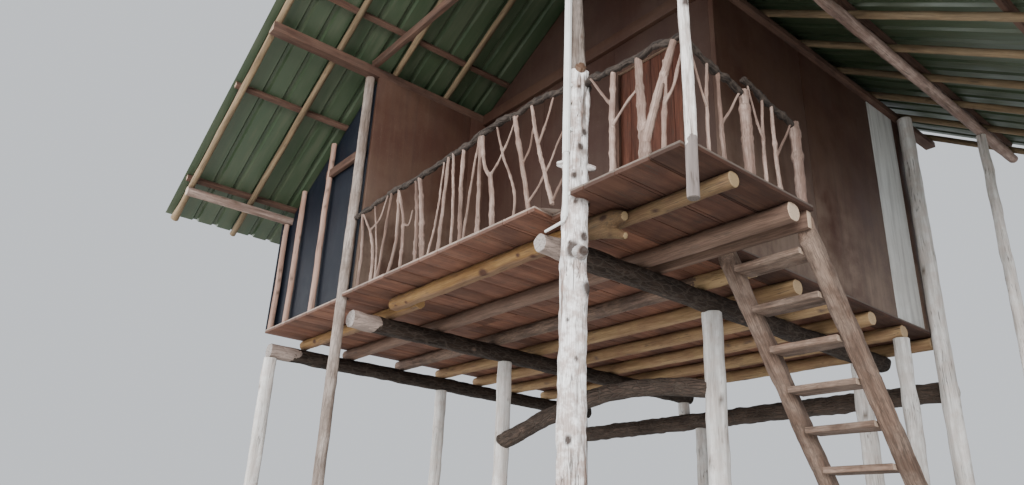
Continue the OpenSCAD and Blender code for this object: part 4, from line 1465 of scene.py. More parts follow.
def tube(line: np.ndarray, sides: int) -> tuple[np.ndarray, Faces, np.ndarray]:
    """A closed tube along a line.

    Args:
        line: Rows of x, y, z and radius.
        sides: The number of its sides.

    Returns:
        Its points, its faces and the grain at each point.
    """
    centres, radii = line[:, :3], line[:, 3]
    way = np.gradient(centres, axis=0)
    way /= np.linalg.norm(way, axis=1)[:, None]
    a = side_axes(way[0])[0]
    angles = np.arange(sides) * 2 * math.pi / sides
    rows, grain = [], []
    run = np.concatenate([[0.0], np.cumsum(np.linalg.norm(np.diff(centres, axis=0), axis=1))])
    for i, (c, w) in enumerate(zip(centres, way)):
        a = a - w * (a @ w)
        a /= np.linalg.norm(a)
        b = np.cross(w, a)
        across, up = radii[i] * np.cos(angles), radii[i] * np.sin(angles)
        rows.append(c + across[:, None] * a + up[:, None] * b)
        grain.append(np.stack([across, up, np.full(sides, run[i])], 1))
    points = np.concatenate([*rows, centres[:1], centres[-1:]])
    grain = np.concatenate([*grain, [[0, 0, run[0]]], [[0, 0, run[-1]]]])
    return points, ring_faces(len(rows), sides), grain


def fused(points: np.ndarray, faces: Faces, voxel: float, passes: int) -> Solid:
    """Melts overlapping solids into one skin.

    Args:
        points: The points of all solids.
        faces: The faces of all solids.
        voxel: The size of the skin's squares.
        passes: How often the skin is smoothed.

    Returns:
        The skin's points and faces.
    """
    mesh = bpy.data.meshes.new("melting")
    mesh.from_pydata(points.tolist(), [], faces)
    holder = bpy.data.objects.new("melting", mesh)
    bpy.context.scene.collection.objects.link(holder)
    melt = holder.modifiers.new("melt", "REMESH")
    melt.mode, melt.voxel_size, melt.adaptivity = "VOXEL", voxel, 0.0
    ease = holder.modifiers.new("ease", "SMOOTH")
    ease.factor, ease.iterations = 0.5, passes
    done = bpy.data.meshes.new_from_object(holder.evaluated_get(bpy.context.evaluated_depsgraph_get()))
    found = np.empty(len(done.vertices) * 3, np.float32)
    done.vertices.foreach_get("co", found)
    skin = [tuple(p.vertices) for p in done.polygons]
    bpy.data.objects.remove(holder)
    bpy.data.meshes.remove(mesh)
    bpy.data.meshes.remove(done)
    return found.reshape(-1, 3).astype(float), skin


@dataclass
class Branch:
    """One branch: its stations of x, y, z and radius, its finish number and how knobbly it is."""

    stations: list[tuple[float, float, float, float]]
    finish: int = 0
    knobs: float = 1.0


@dataclass
class BranchWork:
    """Melts branches that cross and fork into one piece, with the grain of each kept."""

    voxel: float = 0.006
    passes: int = 3
    swell: float = 0.0008
    step: float = 0.012

    def shapes(self, branches: Sequence[Branch], rng: np.random.Generator,
               seat: Callable[[np.ndarray], np.ndarray]) -> list[Shape]:
        """Builds the work.

        Args:
            branches: The branches.
            rng: The source of their unevenness.
            seat: What moves points that lie past a seat back onto it.

        Returns:
            One shape for each finish number.
        """
        made = []
        for finish in sorted({b.finish for b in branches}):
            own = [b for b in branches if b.finish == finish]
            points, faces, lines = [], [], []
            start = 0
            for number, b in enumerate(own):
                line = spline(np.array(b.stations), self.step)
                length = np.arange(len(line)) * self.step
                ripple = 0.05 * np.sin(length * 31 + number) + 0.04 * np.sin(length * 77 + 2 * number)
                wave = 1 + b.knobs * ripple
                for spot in rng.uniform(0, length[-1], max(1, int(length[-1] * 7 * b.knobs))):
                    wave += rng.uniform(0.12, 0.32) * np.exp(-((length - spot) / 0.016) ** 2)
                fat = line.copy()
                for axis in (1, 2):
                    fat[:, axis] += b.knobs * 0.0016 * np.sin(length * (17 + 9 * axis) + number * (2 + axis))
                fat[:, 3] = fat[:, 3] * wave + self.swell
                p, f, _ = tube(fat, 12)
                points.append(p)
                faces += [tuple(i + start for i in face) for face in f]
                start += len(p)
                lines.append((fat, rng.uniform(0, 20)))
            skin, skin_faces = fused(np.concatenate(points), faces, self.voxel, self.passes)
            grain = self.fibres(skin, lines)
            made.append(Shape(seat(skin), skin_faces, grain, finish=finish))
        return made

    @staticmethod
    def fibres(skin: np.ndarray, lines: list[tuple[np.ndarray, float]]) -> np.ndarray:
        """Takes the grain from the branch whose skin is nearest.

        Args:
            skin: The points of the melted skin.
            lines: Each branch's rows of x, y, z and radius, and its grain's start.

        Returns:
            The grain at each point.
        """
        best = np.full(len(skin), 1e9)
        grain = np.zeros((len(skin), 3))
        for line, shift in lines:
            low, high = line[:, :3].min(0) - 0.06, line[:, :3].max(0) + 0.06
            inside = np.where(((skin > low) & (skin < high)).all(1))[0]
            if not len(inside):
                continue
            off = skin[inside, None, :] - line[None, :, :3]
            far = np.linalg.norm(off, axis=2) - line[None, :, 3]
            nearest = far.argmin(1)
            gap = far[np.arange(len(inside)), nearest]
            way = np.gradient(line[:, :3], axis=0)
            way /= np.linalg.norm(way, axis=1)[:, None]
            run = np.concatenate([[0.0], np.cumsum(np.linalg.norm(np.diff(line[:, :3], axis=0), axis=1))])
            a = np.array([side_axes(w)[0] for w in way])
            b = np.cross(way, a)
            offset = off[np.arange(len(inside)), nearest]
            along = (offset * way[nearest]).sum(1)
            found = np.stack([(offset * a[nearest]).sum(1), (offset * b[nearest]).sum(1),
                              run[nearest] + along + shift], 1)
            better = gap < best[inside]
            best[inside[better]] = gap[better]
            grain[inside[better]] = found[better]
        return grain


# The house


@dataclass
class Sizes:
    """Sizes that several sub-assemblies share, in metres, as in the part's source."""

    floor: float = 3.5
    joist_top: float = 3.465
    joist_bottom: float = 3.355
    rail_y: float = -2.025
    post_x: float = 1.25
    post_y: float = -1.955
    rail_in_y: float = -1.995
    corner_x: float = -1.53
    newel_x: float = 2.165
    rail_h: float = 0.78
    plate_top: float = 5.77
    wall_x: float = 1.44
    roof_pitch: float = math.radians(31)


# Height, azimuth in degrees, size, rise and dent of each knot on the front post
POST_KNOTS = (
    (3.223, -5, 0.021, 0.014, 0.014), (3.179, -60, 0.012, 0.004, 0.006), (2.913, 15, 0.03, 0.024, 0.0),
    (3.439, -42, 0.012, 0.008, 0.003), (3.922, -4, 0.017, 0.01, 0.011), (3.813, -22, 0.019, 0.012, 0.013),
    (3.616, -48, 0.016, 0.008, 0.01), (2.065, -57, 0.018, 0.01, 0.006), (3.135, -48, 0.036, 0.016, 0.0),
    (1.3, -40, 0.014, 0.008, 0.004), (4.12, -70, 0.009, 0.004, 0.006), (4.24, -35, 0.01, 0.005, 0.007),
    (2.5, -30, 0.01, 0.005, 0.004), (2.72, -65, 0.009, 0.004, 0.004), (1.75, -20, 0.01, 0.006, 0.003),
)


@dataclass
class Posts:
    """The standing logs."""

    sizes: Sizes
    stub_sides: int = 18
    peg_stain: float = 0.12
    rot_stain: float = 0.55

    def stub(self, height: float, azimuth: float, radius: float, reach: float, drop: float,
             finish: int = 0, hollow: bool = False) -> Shape:
        """A cut side branch.

        Args:
            height: The height at which it leaves the post.
            azimuth: The direction in plan, in degrees from +X.
            radius: Its radius.
            reach: How far it ends from the post's middle.
            drop: How much lower its end is.
            finish: Its finish number in the piece.
            hollow: Whether its end is dark and rotted out.

        Returns:
            The stub.
        """
        x, y = self.sizes.post_x, self.sizes.post_y
        way = np.array([math.cos(math.radians(azimuth)), math.sin(math.radians(azimuth))])
        line = [(x + way[0] * t, y + way[1] * t, height - drop * t / reach, radius * fat)
                for t, fat in ((0.04, 1.6), (0.08, 1.4), (reach - 0.01, 0.95), (reach, 0.7))]
        points, faces, grain = tube(np.array(line), self.stub_sides)
        cut = end_faces(points, faces, np.array([*way, 0.0])) * (finish > 0)
        knot = np.full(len(points), self.rot_stain if hollow else self.peg_stain) * (finish == 0)
        if hollow:
            knot[-self.stub_sides - 2:] = 1.0
        return Shape(points, faces, grain, 0.5, knot, cut, finish)

    def front(self) -> None:
        """The big pale post with its knots, cut stubs and streaks, and the thinner pole on it."""
        marks = [Knot(z, math.radians(azimuth + 90), size, rise, dent)
                 for z, azimuth, size, rise, dent in POST_KNOTS]
        timber = RoundTimber(pitch=0.011, sides=60, uneven=0.0055, flutes=0.0032, knots_per_metre=0.5,
                             chamfer=0.01)
        points, faces = arrays(clean_solid("front_post"))
        shapes = [timber.shape(points, faces, np.random.default_rng(3), 0.62, 0, marks),
                  self.stub(3.726, -133, 0.018, 0.118, -0.008), self.stub(3.713, 45, 0.018, 0.122, 0.012),
                  self.stub(3.135, -22, 0.034, 0.138, 0.022, 0, True),
                  self.stub(4.345, -25, 0.025, 0.094, -0.06, 1)]
        place("front_post_log", shapes, [POST, STUB], "peeled_log", "front_post")
        timber = RoundTimber(pitch=0.025, sides=32, uneven=0.0025, knots_per_metre=2.5)
        place("front_post_upper_pole", timber.node_shapes("front_post_upper", 11, 0.5), [UPPER_POLE],
              "grey_branch", "front_post_upper")

    def others(self) -> None:
        """The corner posts and the posts under the floor and at the rear."""
        fine = RoundTimber(pitch=0.03, sides=28, knots_per_metre=2.0)
        plain = RoundTimber(pitch=0.06, sides=24, uneven=0.004)
        for name, node, timber, seed, tone, spread, finish in (
            ("left_corner_post_log", "left_corner_post", fine, 5, 0.6, 0.12, UPPER_POLE),
            ("right_corner_post_log", "right_corner_post", fine, 6, 0.6, 0.12, NEWEL),
            ("under_floor_post_logs", "under_floor_posts", plain, 7, 0.35, 0.15, PEELED),
            ("rear_post_logs", "rear_posts", plain, 8, 0.5, 0.1, PEELED),
        ):
            place(name, timber.node_shapes(node, seed, tone, spread), [finish], "peeled_log", node)

    def build(self) -> None:
        """Builds all posts."""
        self.front()
        self.others()


# Place along X, turn in radians and size of each knot on the front joist
JOIST_KNOTS = (
    (0.096, 3.95, 0.028), (0.502, 3.54, 0.012), (-0.939, 3.9, 0.011), (-1.091, 3.8, 0.009),
    (0.78, 3.7, 0.008),
)
# Middle and size of each eye of the forked log
FORK_EYES = (
    ((1.317, -1.79, 3.406), (0.022, 0.03, 0.016)),
    ((1.11, -1.775, 3.385), (0.012, 0.03, 0.01)),
)


@dataclass
class FloorLogs:
    """The girders, joists and beams under the floor.

    A solid with no more than board_points points is a sawn board, and the others are logs. The
    fork lies on the girder up to seat_x, and past prong_x its ends are sawn.
    """

    sizes: Sizes
    board_points: int = 12
    seat_x: float = 1.04
    prong_x: float = 1.43
    heart: tuple[float, float] = (-1.722, 3.41)

    def build(self) -> None:
        """Builds all logs under the floor."""
        girders = RoundTimber(pitch=0.03, sides=32, uneven=0.004, flutes=0.003, knots_per_metre=1.0, easing=1)
        for name, node, seed in (("main_girder_natural", "main_girder_log", 21),
                                 ("side_girders_natural", "side_girder_logs", 22)):
            place(name, girders.node_shapes(node, seed), [GIRDER], "bark_log", node)
        for node, seed, pitch, trim in (("rear_log_beam", 23, 0.05, (0.0, 0.12)),
                                        ("arched_log", 24, 0.04, (0.07, 0.07))):
            timber = RoundTimber(pitch=pitch, sides=28, uneven=0.005, flutes=0.004, trim=trim, easing=1)
            place(node + "_natural", timber.node_shapes(node, seed), [BARK], "bark_log", node)
        self.front_joist()
        self.other_joists()
        self.splice()

    def front_joist(self) -> None:
        """The joist along the porch's front, whose knots are seen."""
        marks = [Knot(x, turn, size, 0.006, 0.006) for x, turn, size in JOIST_KNOTS]
        rng = np.random.default_rng(25)
        timber = RoundTimber(pitch=0.012, sides=44, uneven=0.003, knots_per_metre=1.2, easing=1)
        shapes = [timber.shape(points, faces, rng, 0.55, 0, marks if points[:, 0].max() > 0 else ())
                  for points, faces in solids("front_joist")]
        place("front_joist_natural", shapes, [OCHRE], "ochre_log", "front_joist")

    def other_joists(self) -> None:
        """The landing's joist with its edge board, and the joists behind the first."""
        joists = RoundTimber(pitch=0.04, sides=28, knots_per_metre=1.4, easing=1)
        rng = np.random.default_rng(26)
        shapes = []
        for points, faces in solids("landing_joists", True):
            if len(points) > self.board_points:
                shapes.append(joists.shape(points, faces, rng, 0.25))
            else:
                shapes.append(SawnTimber().shape(points, faces, rng, 0.5, 1))
        place("landing_joists_natural", shapes, [FORK, BROWN_JOIST], "ochre_log", "landing_joists")
        rows = joists.node_shapes("floor_joists", 27, 0.5, 0.1)
        rows.sort(key=lambda s: s.points[:, 1].mean())
        for number, row in enumerate(rows):
            row.finish = min(number, 2)
        place("floor_joists_natural", rows, [BROWN_JOIST, PART_PEELED, PALE_JOIST], "ochre_log",
              "floor_joists")

    def splice(self) -> None:
        """The forked end of the front joist, melted from its CAD solid."""
        points, faces = arrays(clean_solid("forked_joist_splice"))
        skin, skin_faces = fused(points, faces, 0.007, 6)
        low = np.where(skin[:, 0] < self.seat_x, self.sizes.joist_bottom, 0.0)
        skin[:, 2] = np.clip(skin[:, 2], low, self.sizes.joist_top)
        grain = np.stack([skin[:, 1] - self.heart[0], skin[:, 2] - self.heart[1], skin[:, 0]], 1)
        knot = sum(np.exp(-(((skin - np.array(middle)) / size) ** 2).sum(1)) for middle, size in FORK_EYES)
        cut = end_faces(skin, skin_faces, Along.X.vector, 0.7)
        cut[np.array([skin[f[0], 0] for f in skin_faces]) < self.prong_x] = 0.0
        shape = Shape(skin, skin_faces, grain, 0.2, np.clip(2.2 * knot, 0, 1), cut)
        place("forked_splice_natural", [shape], [FORK], "ochre_log", "forked_joist_splice")


@dataclass
class Floors:
    """The boards of the porch, the room and the bay. The landing's boards are made darker as painted shade.
    """

    landing_x: float = 1.2
    landing_painted_shade: float = 0.55

    def build(self) -> None:
        """Saws each CAD slab into boards."""
        row = BoardRow(timber=SawnTimber(bevel=0.003, pitch=0.3, waves=0.0025, along=Along.Y))
        for node, seed in (("porch_deck", 31), ("room_floor", 32), ("bay_floor", 33)):
            boards = row.boards(*arrays(clean_solid(node, True)), np.random.default_rng(seed))
            for board in boards:
                # Painted shade: boards past landing_x are made darker.
                if board.points[:, 0].mean() > self.landing_x:
                    board.tone -= self.landing_painted_shade
            place(node + "_boards", boards, [DECK], "deck_boards", node, sharp=SAWN_EDGE)


# A stick is a path of shares of the bay and of the rail's height, in hundredths (below the floor in
# millimetres), and its radius at the foot and at the head in millimetres.
Stick = tuple[tuple[tuple[float, float], ...], float, float]

LEFT_RAIL = (
    (0, 0.9), (12, 0.93), (25, 0.98), (33, 0.95), (40, 0.96), (54, 1.01), (60, 1), (66, 1.04), (75, 1.06),
    (81, 1.04), (88, 1.06), (94, 1.02), (100, 1),
)
LEFT_STICKS: tuple[Stick, ...] = (
    (((8, -20), (8, 50), (6, 100)), 14, 12),
    (((16, -20), (15, 40), (12, 70)), 14, 12), (((12, 68), (9, 84), (6.5, 99)), 10, 8),
    (((12, 68), (17, 76), (21, 99)), 10, 8),
    (((18, -20), (17.5, 32), (13.5, 98)), 9, 7),
    (((19, -20), (20, 20), (23, 99)), 13, 11),
    (((25, -20), (28, 37), (27, 98)), 15, 12),
    (((32, -20), (31, 56), (27, 97)), 14, 11), (((31, 54), (34, 50), (36, 64)), 9, 7),
    (((39.5, -20), (38, 55), (36, 100)), 15, 13),
    (((43, -20), (40, 64), (38, 100)), 21, 17),
    (((45, -20), (48, 40), (50, 100)), 9, 7),
    (((50, -20), (50.5, 33), (52, 100)), 15, 12),
    (((56, -20), (55.5, 40), (54, 100)), 12, 10),
    (((60, -20), (58.5, 60), (59, 100)), 16, 14),
    (((61, -20), (63, 57), (65.5, 98)), 10, 8),
    (((67, -20), (66.5, 35), (66, 99)), 16, 13),
    (((73, -20), (72, 30), (71, 55)), 19, 17), (((71, 52), (68, 68), (67, 98)), 14, 12),
    (((71, 52), (75, 66), (81, 98)), 9, 7),
    (((81, -20), (80.5, 28), (76, 64), (72.5, 98)), 10, 8),
    (((86, -20), (85.5, 14), (79.7, 98)), 18, 15),
    (((83, 45), (85.5, 58), (87, 75)), 9, 7),
    (((94.5, -20), (88.8, 57), (86, 98)), 14, 12),
    (((88.8, 56), (91, 74), (94, 98)), 9, 7),
    (((86, 10), (91, 28), (98.5, 68)), 8, 7),
    (((93.5, -20), (98.5, 26)), 9, 7),
)
RIGHT_RAIL = (
    (0, 1.035), (10, 0.985), (24, 0.95), (40, 0.9), (52, 0.91), (64, 0.88), (76, 0.89), (88, 0.86),
    (100, 0.84),
)
RIGHT_STICKS: tuple[Stick, ...] = (
    (((39.5, -20), (38.5, 51), (40.5, 99)), 19, 16),
    (((39, 66), (31, 78), (19, 99)), 10, 8),
    (((39, 46), (46, 56), (60, 68)), 9, 7),
    (((66, -20), (66, 12), (66, 24)), 36, 30),
    (((66, 12), (63.5, 55), (62.5, 99)), 27, 22),
    (((66, 12), (76, 50), (92, 99)), 25, 21),
    (((81, -20), (81, 19), (83, 46)), 15, 13),
    (((83, 42), (84, 60), (83, 84)), 10, 8),
    (((83, 42), (90, 58), (97, 84)), 10, 8),
)
SIDE_RAIL = ((0, 0.84), (22, 0.8), (46, 0.76), (70, 0.73), (100, 0.69))
SIDE_STICKS: tuple[Stick, ...] = (
    (((30, -20), (32, 50), (35, 99)), 11, 9),
    (((31, 50), (20, 72), (8, 99)), 8, 6),
    (((56, -20), (55, 50), (53, 99)), 13, 11),
    (((56, 44), (70, 62), (92, 99)), 9, 7),
)


@dataclass
class RailingBay:
    """One bay of the railing between two places in plan, with its rail and its sticks."""

    start: tuple[float, float]
    end: tuple[float, float]
    rail: Sequence[tuple[float, float]]
    sticks: Sequence[Stick]
    sizes: Sizes
    rail_r: float = 0.02
    inset: float = 0.0
    inset_run: float = 16.0
    tendril_r: float = 0.0062

    def at(self, share: float, z: float, radius: float, side: float) -> tuple[float, float, float, float]:
        """One station of a branch.

        Args:
            share: The place along the bay, in hundredths.
            z: The height over the floor.
            radius: The branch's radius there.
            side: The distance to the outside.

        Returns:
            The x, y, z and radius.
        """
        run = np.array(self.end) - np.array(self.start)
        span = np.linalg.norm(run)
        way = run / span
        p = np.array(self.start) + run * share / 100 + np.array([way[1], -way[0]]) * side
        return (p[0], p[1], self.sizes.floor + z, radius)

    def rail_z(self, share: float) -> float:
        """The height of the rail's middle over the floor."""
        shares, heights = zip(*self.rail)
        return float(np.interp(share, shares, heights)) * self.sizes.rail_h

    def branches(self) -> list[Branch]:
        """The rail and the sticks.

        Returns:
            The branches, the rail first.
        """
        made = []
        stations = []
        for i, (share, height) in enumerate(self.rail):
            side = 0.005 * math.sin(math.radians(140 * i)) - self.inset * max(0.0, 1 - share / self.inset_run)
            radius = self.rail_r * (1 - 0.12 * (i % 2))
            stations.append(self.at(share, height * self.sizes.rail_h, radius, side))
        made.append(Branch(stations, 1, 2.4))
        for path, foot, head in self.sticks:
            stations = []
            for i, (share, height) in enumerate(path):
                t = i / (len(path) - 1)
                z = height / 1000 if height < 0 else height / 100 * self.rail_z(share)
                side = 0.003 * math.sin(math.radians(200 * i + share))
                stations.append(self.at(share, z, (foot + (head - foot) * t) / 1000, side))
            made.append(Branch(stations))
        return made

    def tendrils(self, rng: np.random.Generator, count: int) -> list[Branch]:
        """Thin woody tendrils that twist round the rail.

        Args:
            rng: The source of their places and turns.
            count: How many there are.

        Returns:
            The tendrils.
        """
        made = []
        for _ in range(count):
            start, length = rng.uniform(4, 70), rng.uniform(10, 24)
            turn, spin = rng.uniform(0, 6.28), rng.choice([-1, 1]) * rng.uniform(0.25, 0.5)
            stations = []
            for i in range(14):
                share = start + length * i / 13
                angle = turn + spin * i
                z = self.rail_z(share) + self.rail_r * 1.05 * math.sin(angle)
                stations.append(self.at(share, z, self.tendril_r, self.rail_r * 1.05 * math.cos(angle)))
            made.append(Branch(stations, 1))
        return made


@dataclass
class Railings:
    """The branch railings of the porch and the landing."""

    sizes: Sizes
    side_x: float = 2.128
    side_y0: float = -1.98
    side_y1: float = -1.45
    side_y2: float = -0.922

    def curl(self) -> Branch:
        """The thin shoot that loops above the left bay's rail."""
        way = ((0.643, 4.28), (0.66, 4.306), (0.7, 4.322), (0.742, 4.31), (0.76, 4.285))
        return Branch([(x, self.sizes.rail_in_y - 0.012, z, 0.0055) for x, z in way], 1)

    def seated(self, skin: np.ndarray) -> np.ndarray:
        """Moves points under the floor up to it."""
        skin[:, 2] = np.maximum(skin[:, 2], self.sizes.floor)
        return skin

    def build(self) -> None:
        """Builds the three railings."""
        s = self.sizes
        inner = (s.post_x, s.rail_in_y)
        left = RailingBay((s.corner_x, s.rail_y), inner, LEFT_RAIL, LEFT_STICKS, s)
        right = RailingBay(inner, (s.newel_x, s.rail_y), RIGHT_RAIL, RIGHT_STICKS, s, inset=0.13)
        for name, bay, seed, count, more in (("left", left, 41, 7, [self.curl()]),
                                             ("right", right, 42, 3, [])):
            rng = np.random.default_rng(seed)
            branches = bay.branches() + bay.tendrils(rng, count) + more
            self.place(f"front_{name}_branch_railing", branches, rng, f"front_{name}_railing")
        branches = []
        for y0, y1 in ((self.side_y0, self.side_y1), (self.side_y1, self.side_y2)):
            branches += RailingBay((self.side_x, y0), (self.side_x, y1), SIDE_RAIL, SIDE_STICKS, s).branches()
        for y in (self.side_y1, self.side_y2):
            post = ((0.0, -0.02, 0.032), (0.002, 0.3, 0.031), (0.0, 0.568, 0.03))
            branches.append(Branch([(self.side_x + x, y, s.floor + z, radius) for x, z, radius in post]))
        self.place("side_branch_railing", branches, np.random.default_rng(43), "side_railing")

    def place(self, name: str, branches: list[Branch], rng: np.random.Generator, node: str) -> None:
        """Melts the branches of one railing and places it."""
        place(name, BranchWork().shapes(branches, rng, self.seated), [BRANCH, GNARLED], "grey_branch", node)


@dataclass
class Walls:
    """The painted plywood walls, the gables, the plates and the beams."""

    panel: float = 1.22
    white_low: float = 1.7
    white_high: float = 2.2
    tie_y: float = -1.0

    def panels(self, node: str, across: Along, seed: int, lines: list[float] | None = None) -> list[Shape]:
        """The sheets of one wall.

        Args:
            node: The wall's CAD node.
            across: The direction across its sheets.
            seed: The seed of their unevenness.
            lines: The joints, or None for even sheets.

        Returns:
            One shape for each sheet.
        """
        row = BoardRow(self.panel, 0.004, across, SawnTimber(0.0025, 0.4, 0.002, Along.Z), 0.1)
        rng = np.random.default_rng(seed)
        made = []
        for points, faces in solids(node, True):
            made += row.boards(points, faces, rng, lines)
        return made

    def build(self) -> None:
        """Builds the walls and the timber on them."""
        for node, across, seed in (
            ("front_wall_left", Along.X, 51), ("front_wall_right", Along.X, 52),
            ("front_wall_over_door", Along.X, 53),
            ("left_wall", Along.Y, 54), ("rear_wall", Along.X, 56), ("gables", Along.X, 57),
        ):
            # The front walls and gables take the darker paint, which is painted shade.
            paint = SHADED_FRONT_WALL if node.startswith(("front", "gables")) else WALL
            place(node + "_sheets", self.panels(node, across, seed), [paint], "wall_boards", node,
                  sharp=SAWN_EDGE)
        low, high = (v.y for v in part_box("right_wall"))
        lines = [low, low + self.panel, self.white_low, self.white_high, high]
        sheets = self.panels("right_wall", Along.Y, 55, lines)
        for sheet in sheets:
            sheet.finish = int(self.white_low < sheet.points[:, 1].mean() < self.white_high)
        place("right_wall_sheets", sheets, [WALL, PALE_PANEL], "wall_boards", "right_wall", sharp=SAWN_EDGE)
        timber = SawnTimber()
        place("wall_plates_sawn", timber.node_shapes("wall_plates", 58), [SAWN], "sawn_timber",
              "wall_plates", sharp=SAWN_EDGE)
        beams = timber.node_shapes("cross_beams", 59, 0.5)
        for beam in beams:
            beam.finish = int(beam.points[:, 1].mean() > self.tie_y)
        place("cross_beams_sawn", beams, [TIE_BEAM, WALL], "sawn_timber", "cross_beams", sharp=SAWN_EDGE)


@dataclass
class Doorway:
    """The door with its frame and hinges."""

    board: float = 0.11

    def build(self) -> None:
        """Builds the frame, the boarded leaf and the hinges."""
        frame = SawnTimber(0.003, 0.3, 0.001)
        place("door_frame_sawn", frame.node_shapes("door_frame", 61), [SAWN], "sawn_timber",
              "door_frame", sharp=SAWN_EDGE)
        row = BoardRow(self.board, 0.003, Along.X, SawnTimber(0.003, 0.4, 0.0008, Along.Z), 0.2)
        leaf = row.boards(*arrays(clean_solid("door", True)), np.random.default_rng(62))
        place("door_leaf_boards", leaf, [DOOR], "door_boards", "door", LEAF, SAWN_EDGE)
        finish_node("hinge_pins", IRON)
        finish_node("hinge_knuckles", IRON)


class Roof:
    """The poles, purlins, sheets and ridge."""

    def build(self) -> None:
        """Builds the timber; the sheets and the ridge cap keep their CAD shape."""
        sawn = SawnTimber()
        for node, seed in (("ridge_beam", 72), ("purlins", 73)):
            place(node + "_sawn", sawn.node_shapes(node, seed), [SAWN], "sawn_timber", node, sharp=SAWN_EDGE)
        poles = RoundTimber(pitch=0.09, sides=16, uneven=0.0016, flutes=0.0006, knots_per_metre=1.2,
                            knot_rise=0.003)
        place("pole_rafters_natural", poles.node_shapes("pole_rafters", 74, 0.5, 0.2), [POLE], "roof_poles",
              "pole_rafters")
        beams = RoundTimber(pitch=0.06, sides=22, uneven=0.003, knots_per_metre=1.5)
        place("eave_beams_natural", beams.node_shapes("eave_beams", 75), [BRANCH], "grey_branch",
              "eave_beams")
        finish_node("roof_sheets", ROOF)
        finish_node("ridge_cap", ROOF)


@dataclass
class ClothScreen:
    """A woven sheet that hangs in soft folds from its top edge.

    Its outline is given in the sheet's own plane as a lower and an upper edge.
    """

    name: str
    origin: tuple[float, float, float]
    way: tuple[float, float, float]
    face: tuple[float, float, float]
    width: float
    top: Callable[[float], float]
    bottom: float
    rests_on: tuple[str, ...]

    def shape(self, step: float = 0.03, depth: float = 0.005) -> tuple[Shape, float]:
        """Hangs the sheet.

        Args:
            step: The width of a column of its squares.
            depth: The depth of a fold.

        Returns:
            The sheet and its area.
        """
        columns, rows = int(self.width / step) + 1, 44
        origin, way, face = (np.array(v) for v in (self.origin, self.way, self.face))
        points, grain = [], []
        for i in range(columns + 1):
            u = self.width * i / columns
            high = self.top(u)
            for j in range(rows + 1):
                t = j / rows
                z = self.bottom + (high - self.bottom) * t
                slack = (1 - t) ** 0.6
                fold = (1.85 + math.sin(u * 9.2 + 1.3 * math.sin(z * 1.9)) + 0.55 * math.sin(u * 21 + z * 1.3)
                        + 0.3 * math.sin(u * 3.1 - z * 4.2))
                p = origin + way * u + face * depth * fold * (0.35 + 0.65 * slack)
                points.append([p[0], p[1], z])
                grain.append([0.0, u, z])
        faces = []
        for i in range(columns):
            for j in range(rows):
                k = i * (rows + 1) + j
                faces.append((k, k + rows + 1, k + rows + 2, k + 1))
        cells = np.linspace(0, self.width, 200)
        area = float(np.mean([self.top(u) - self.bottom for u in cells]) * self.width)
        return Shape(np.array(points), faces, np.array(grain), 0.5), area


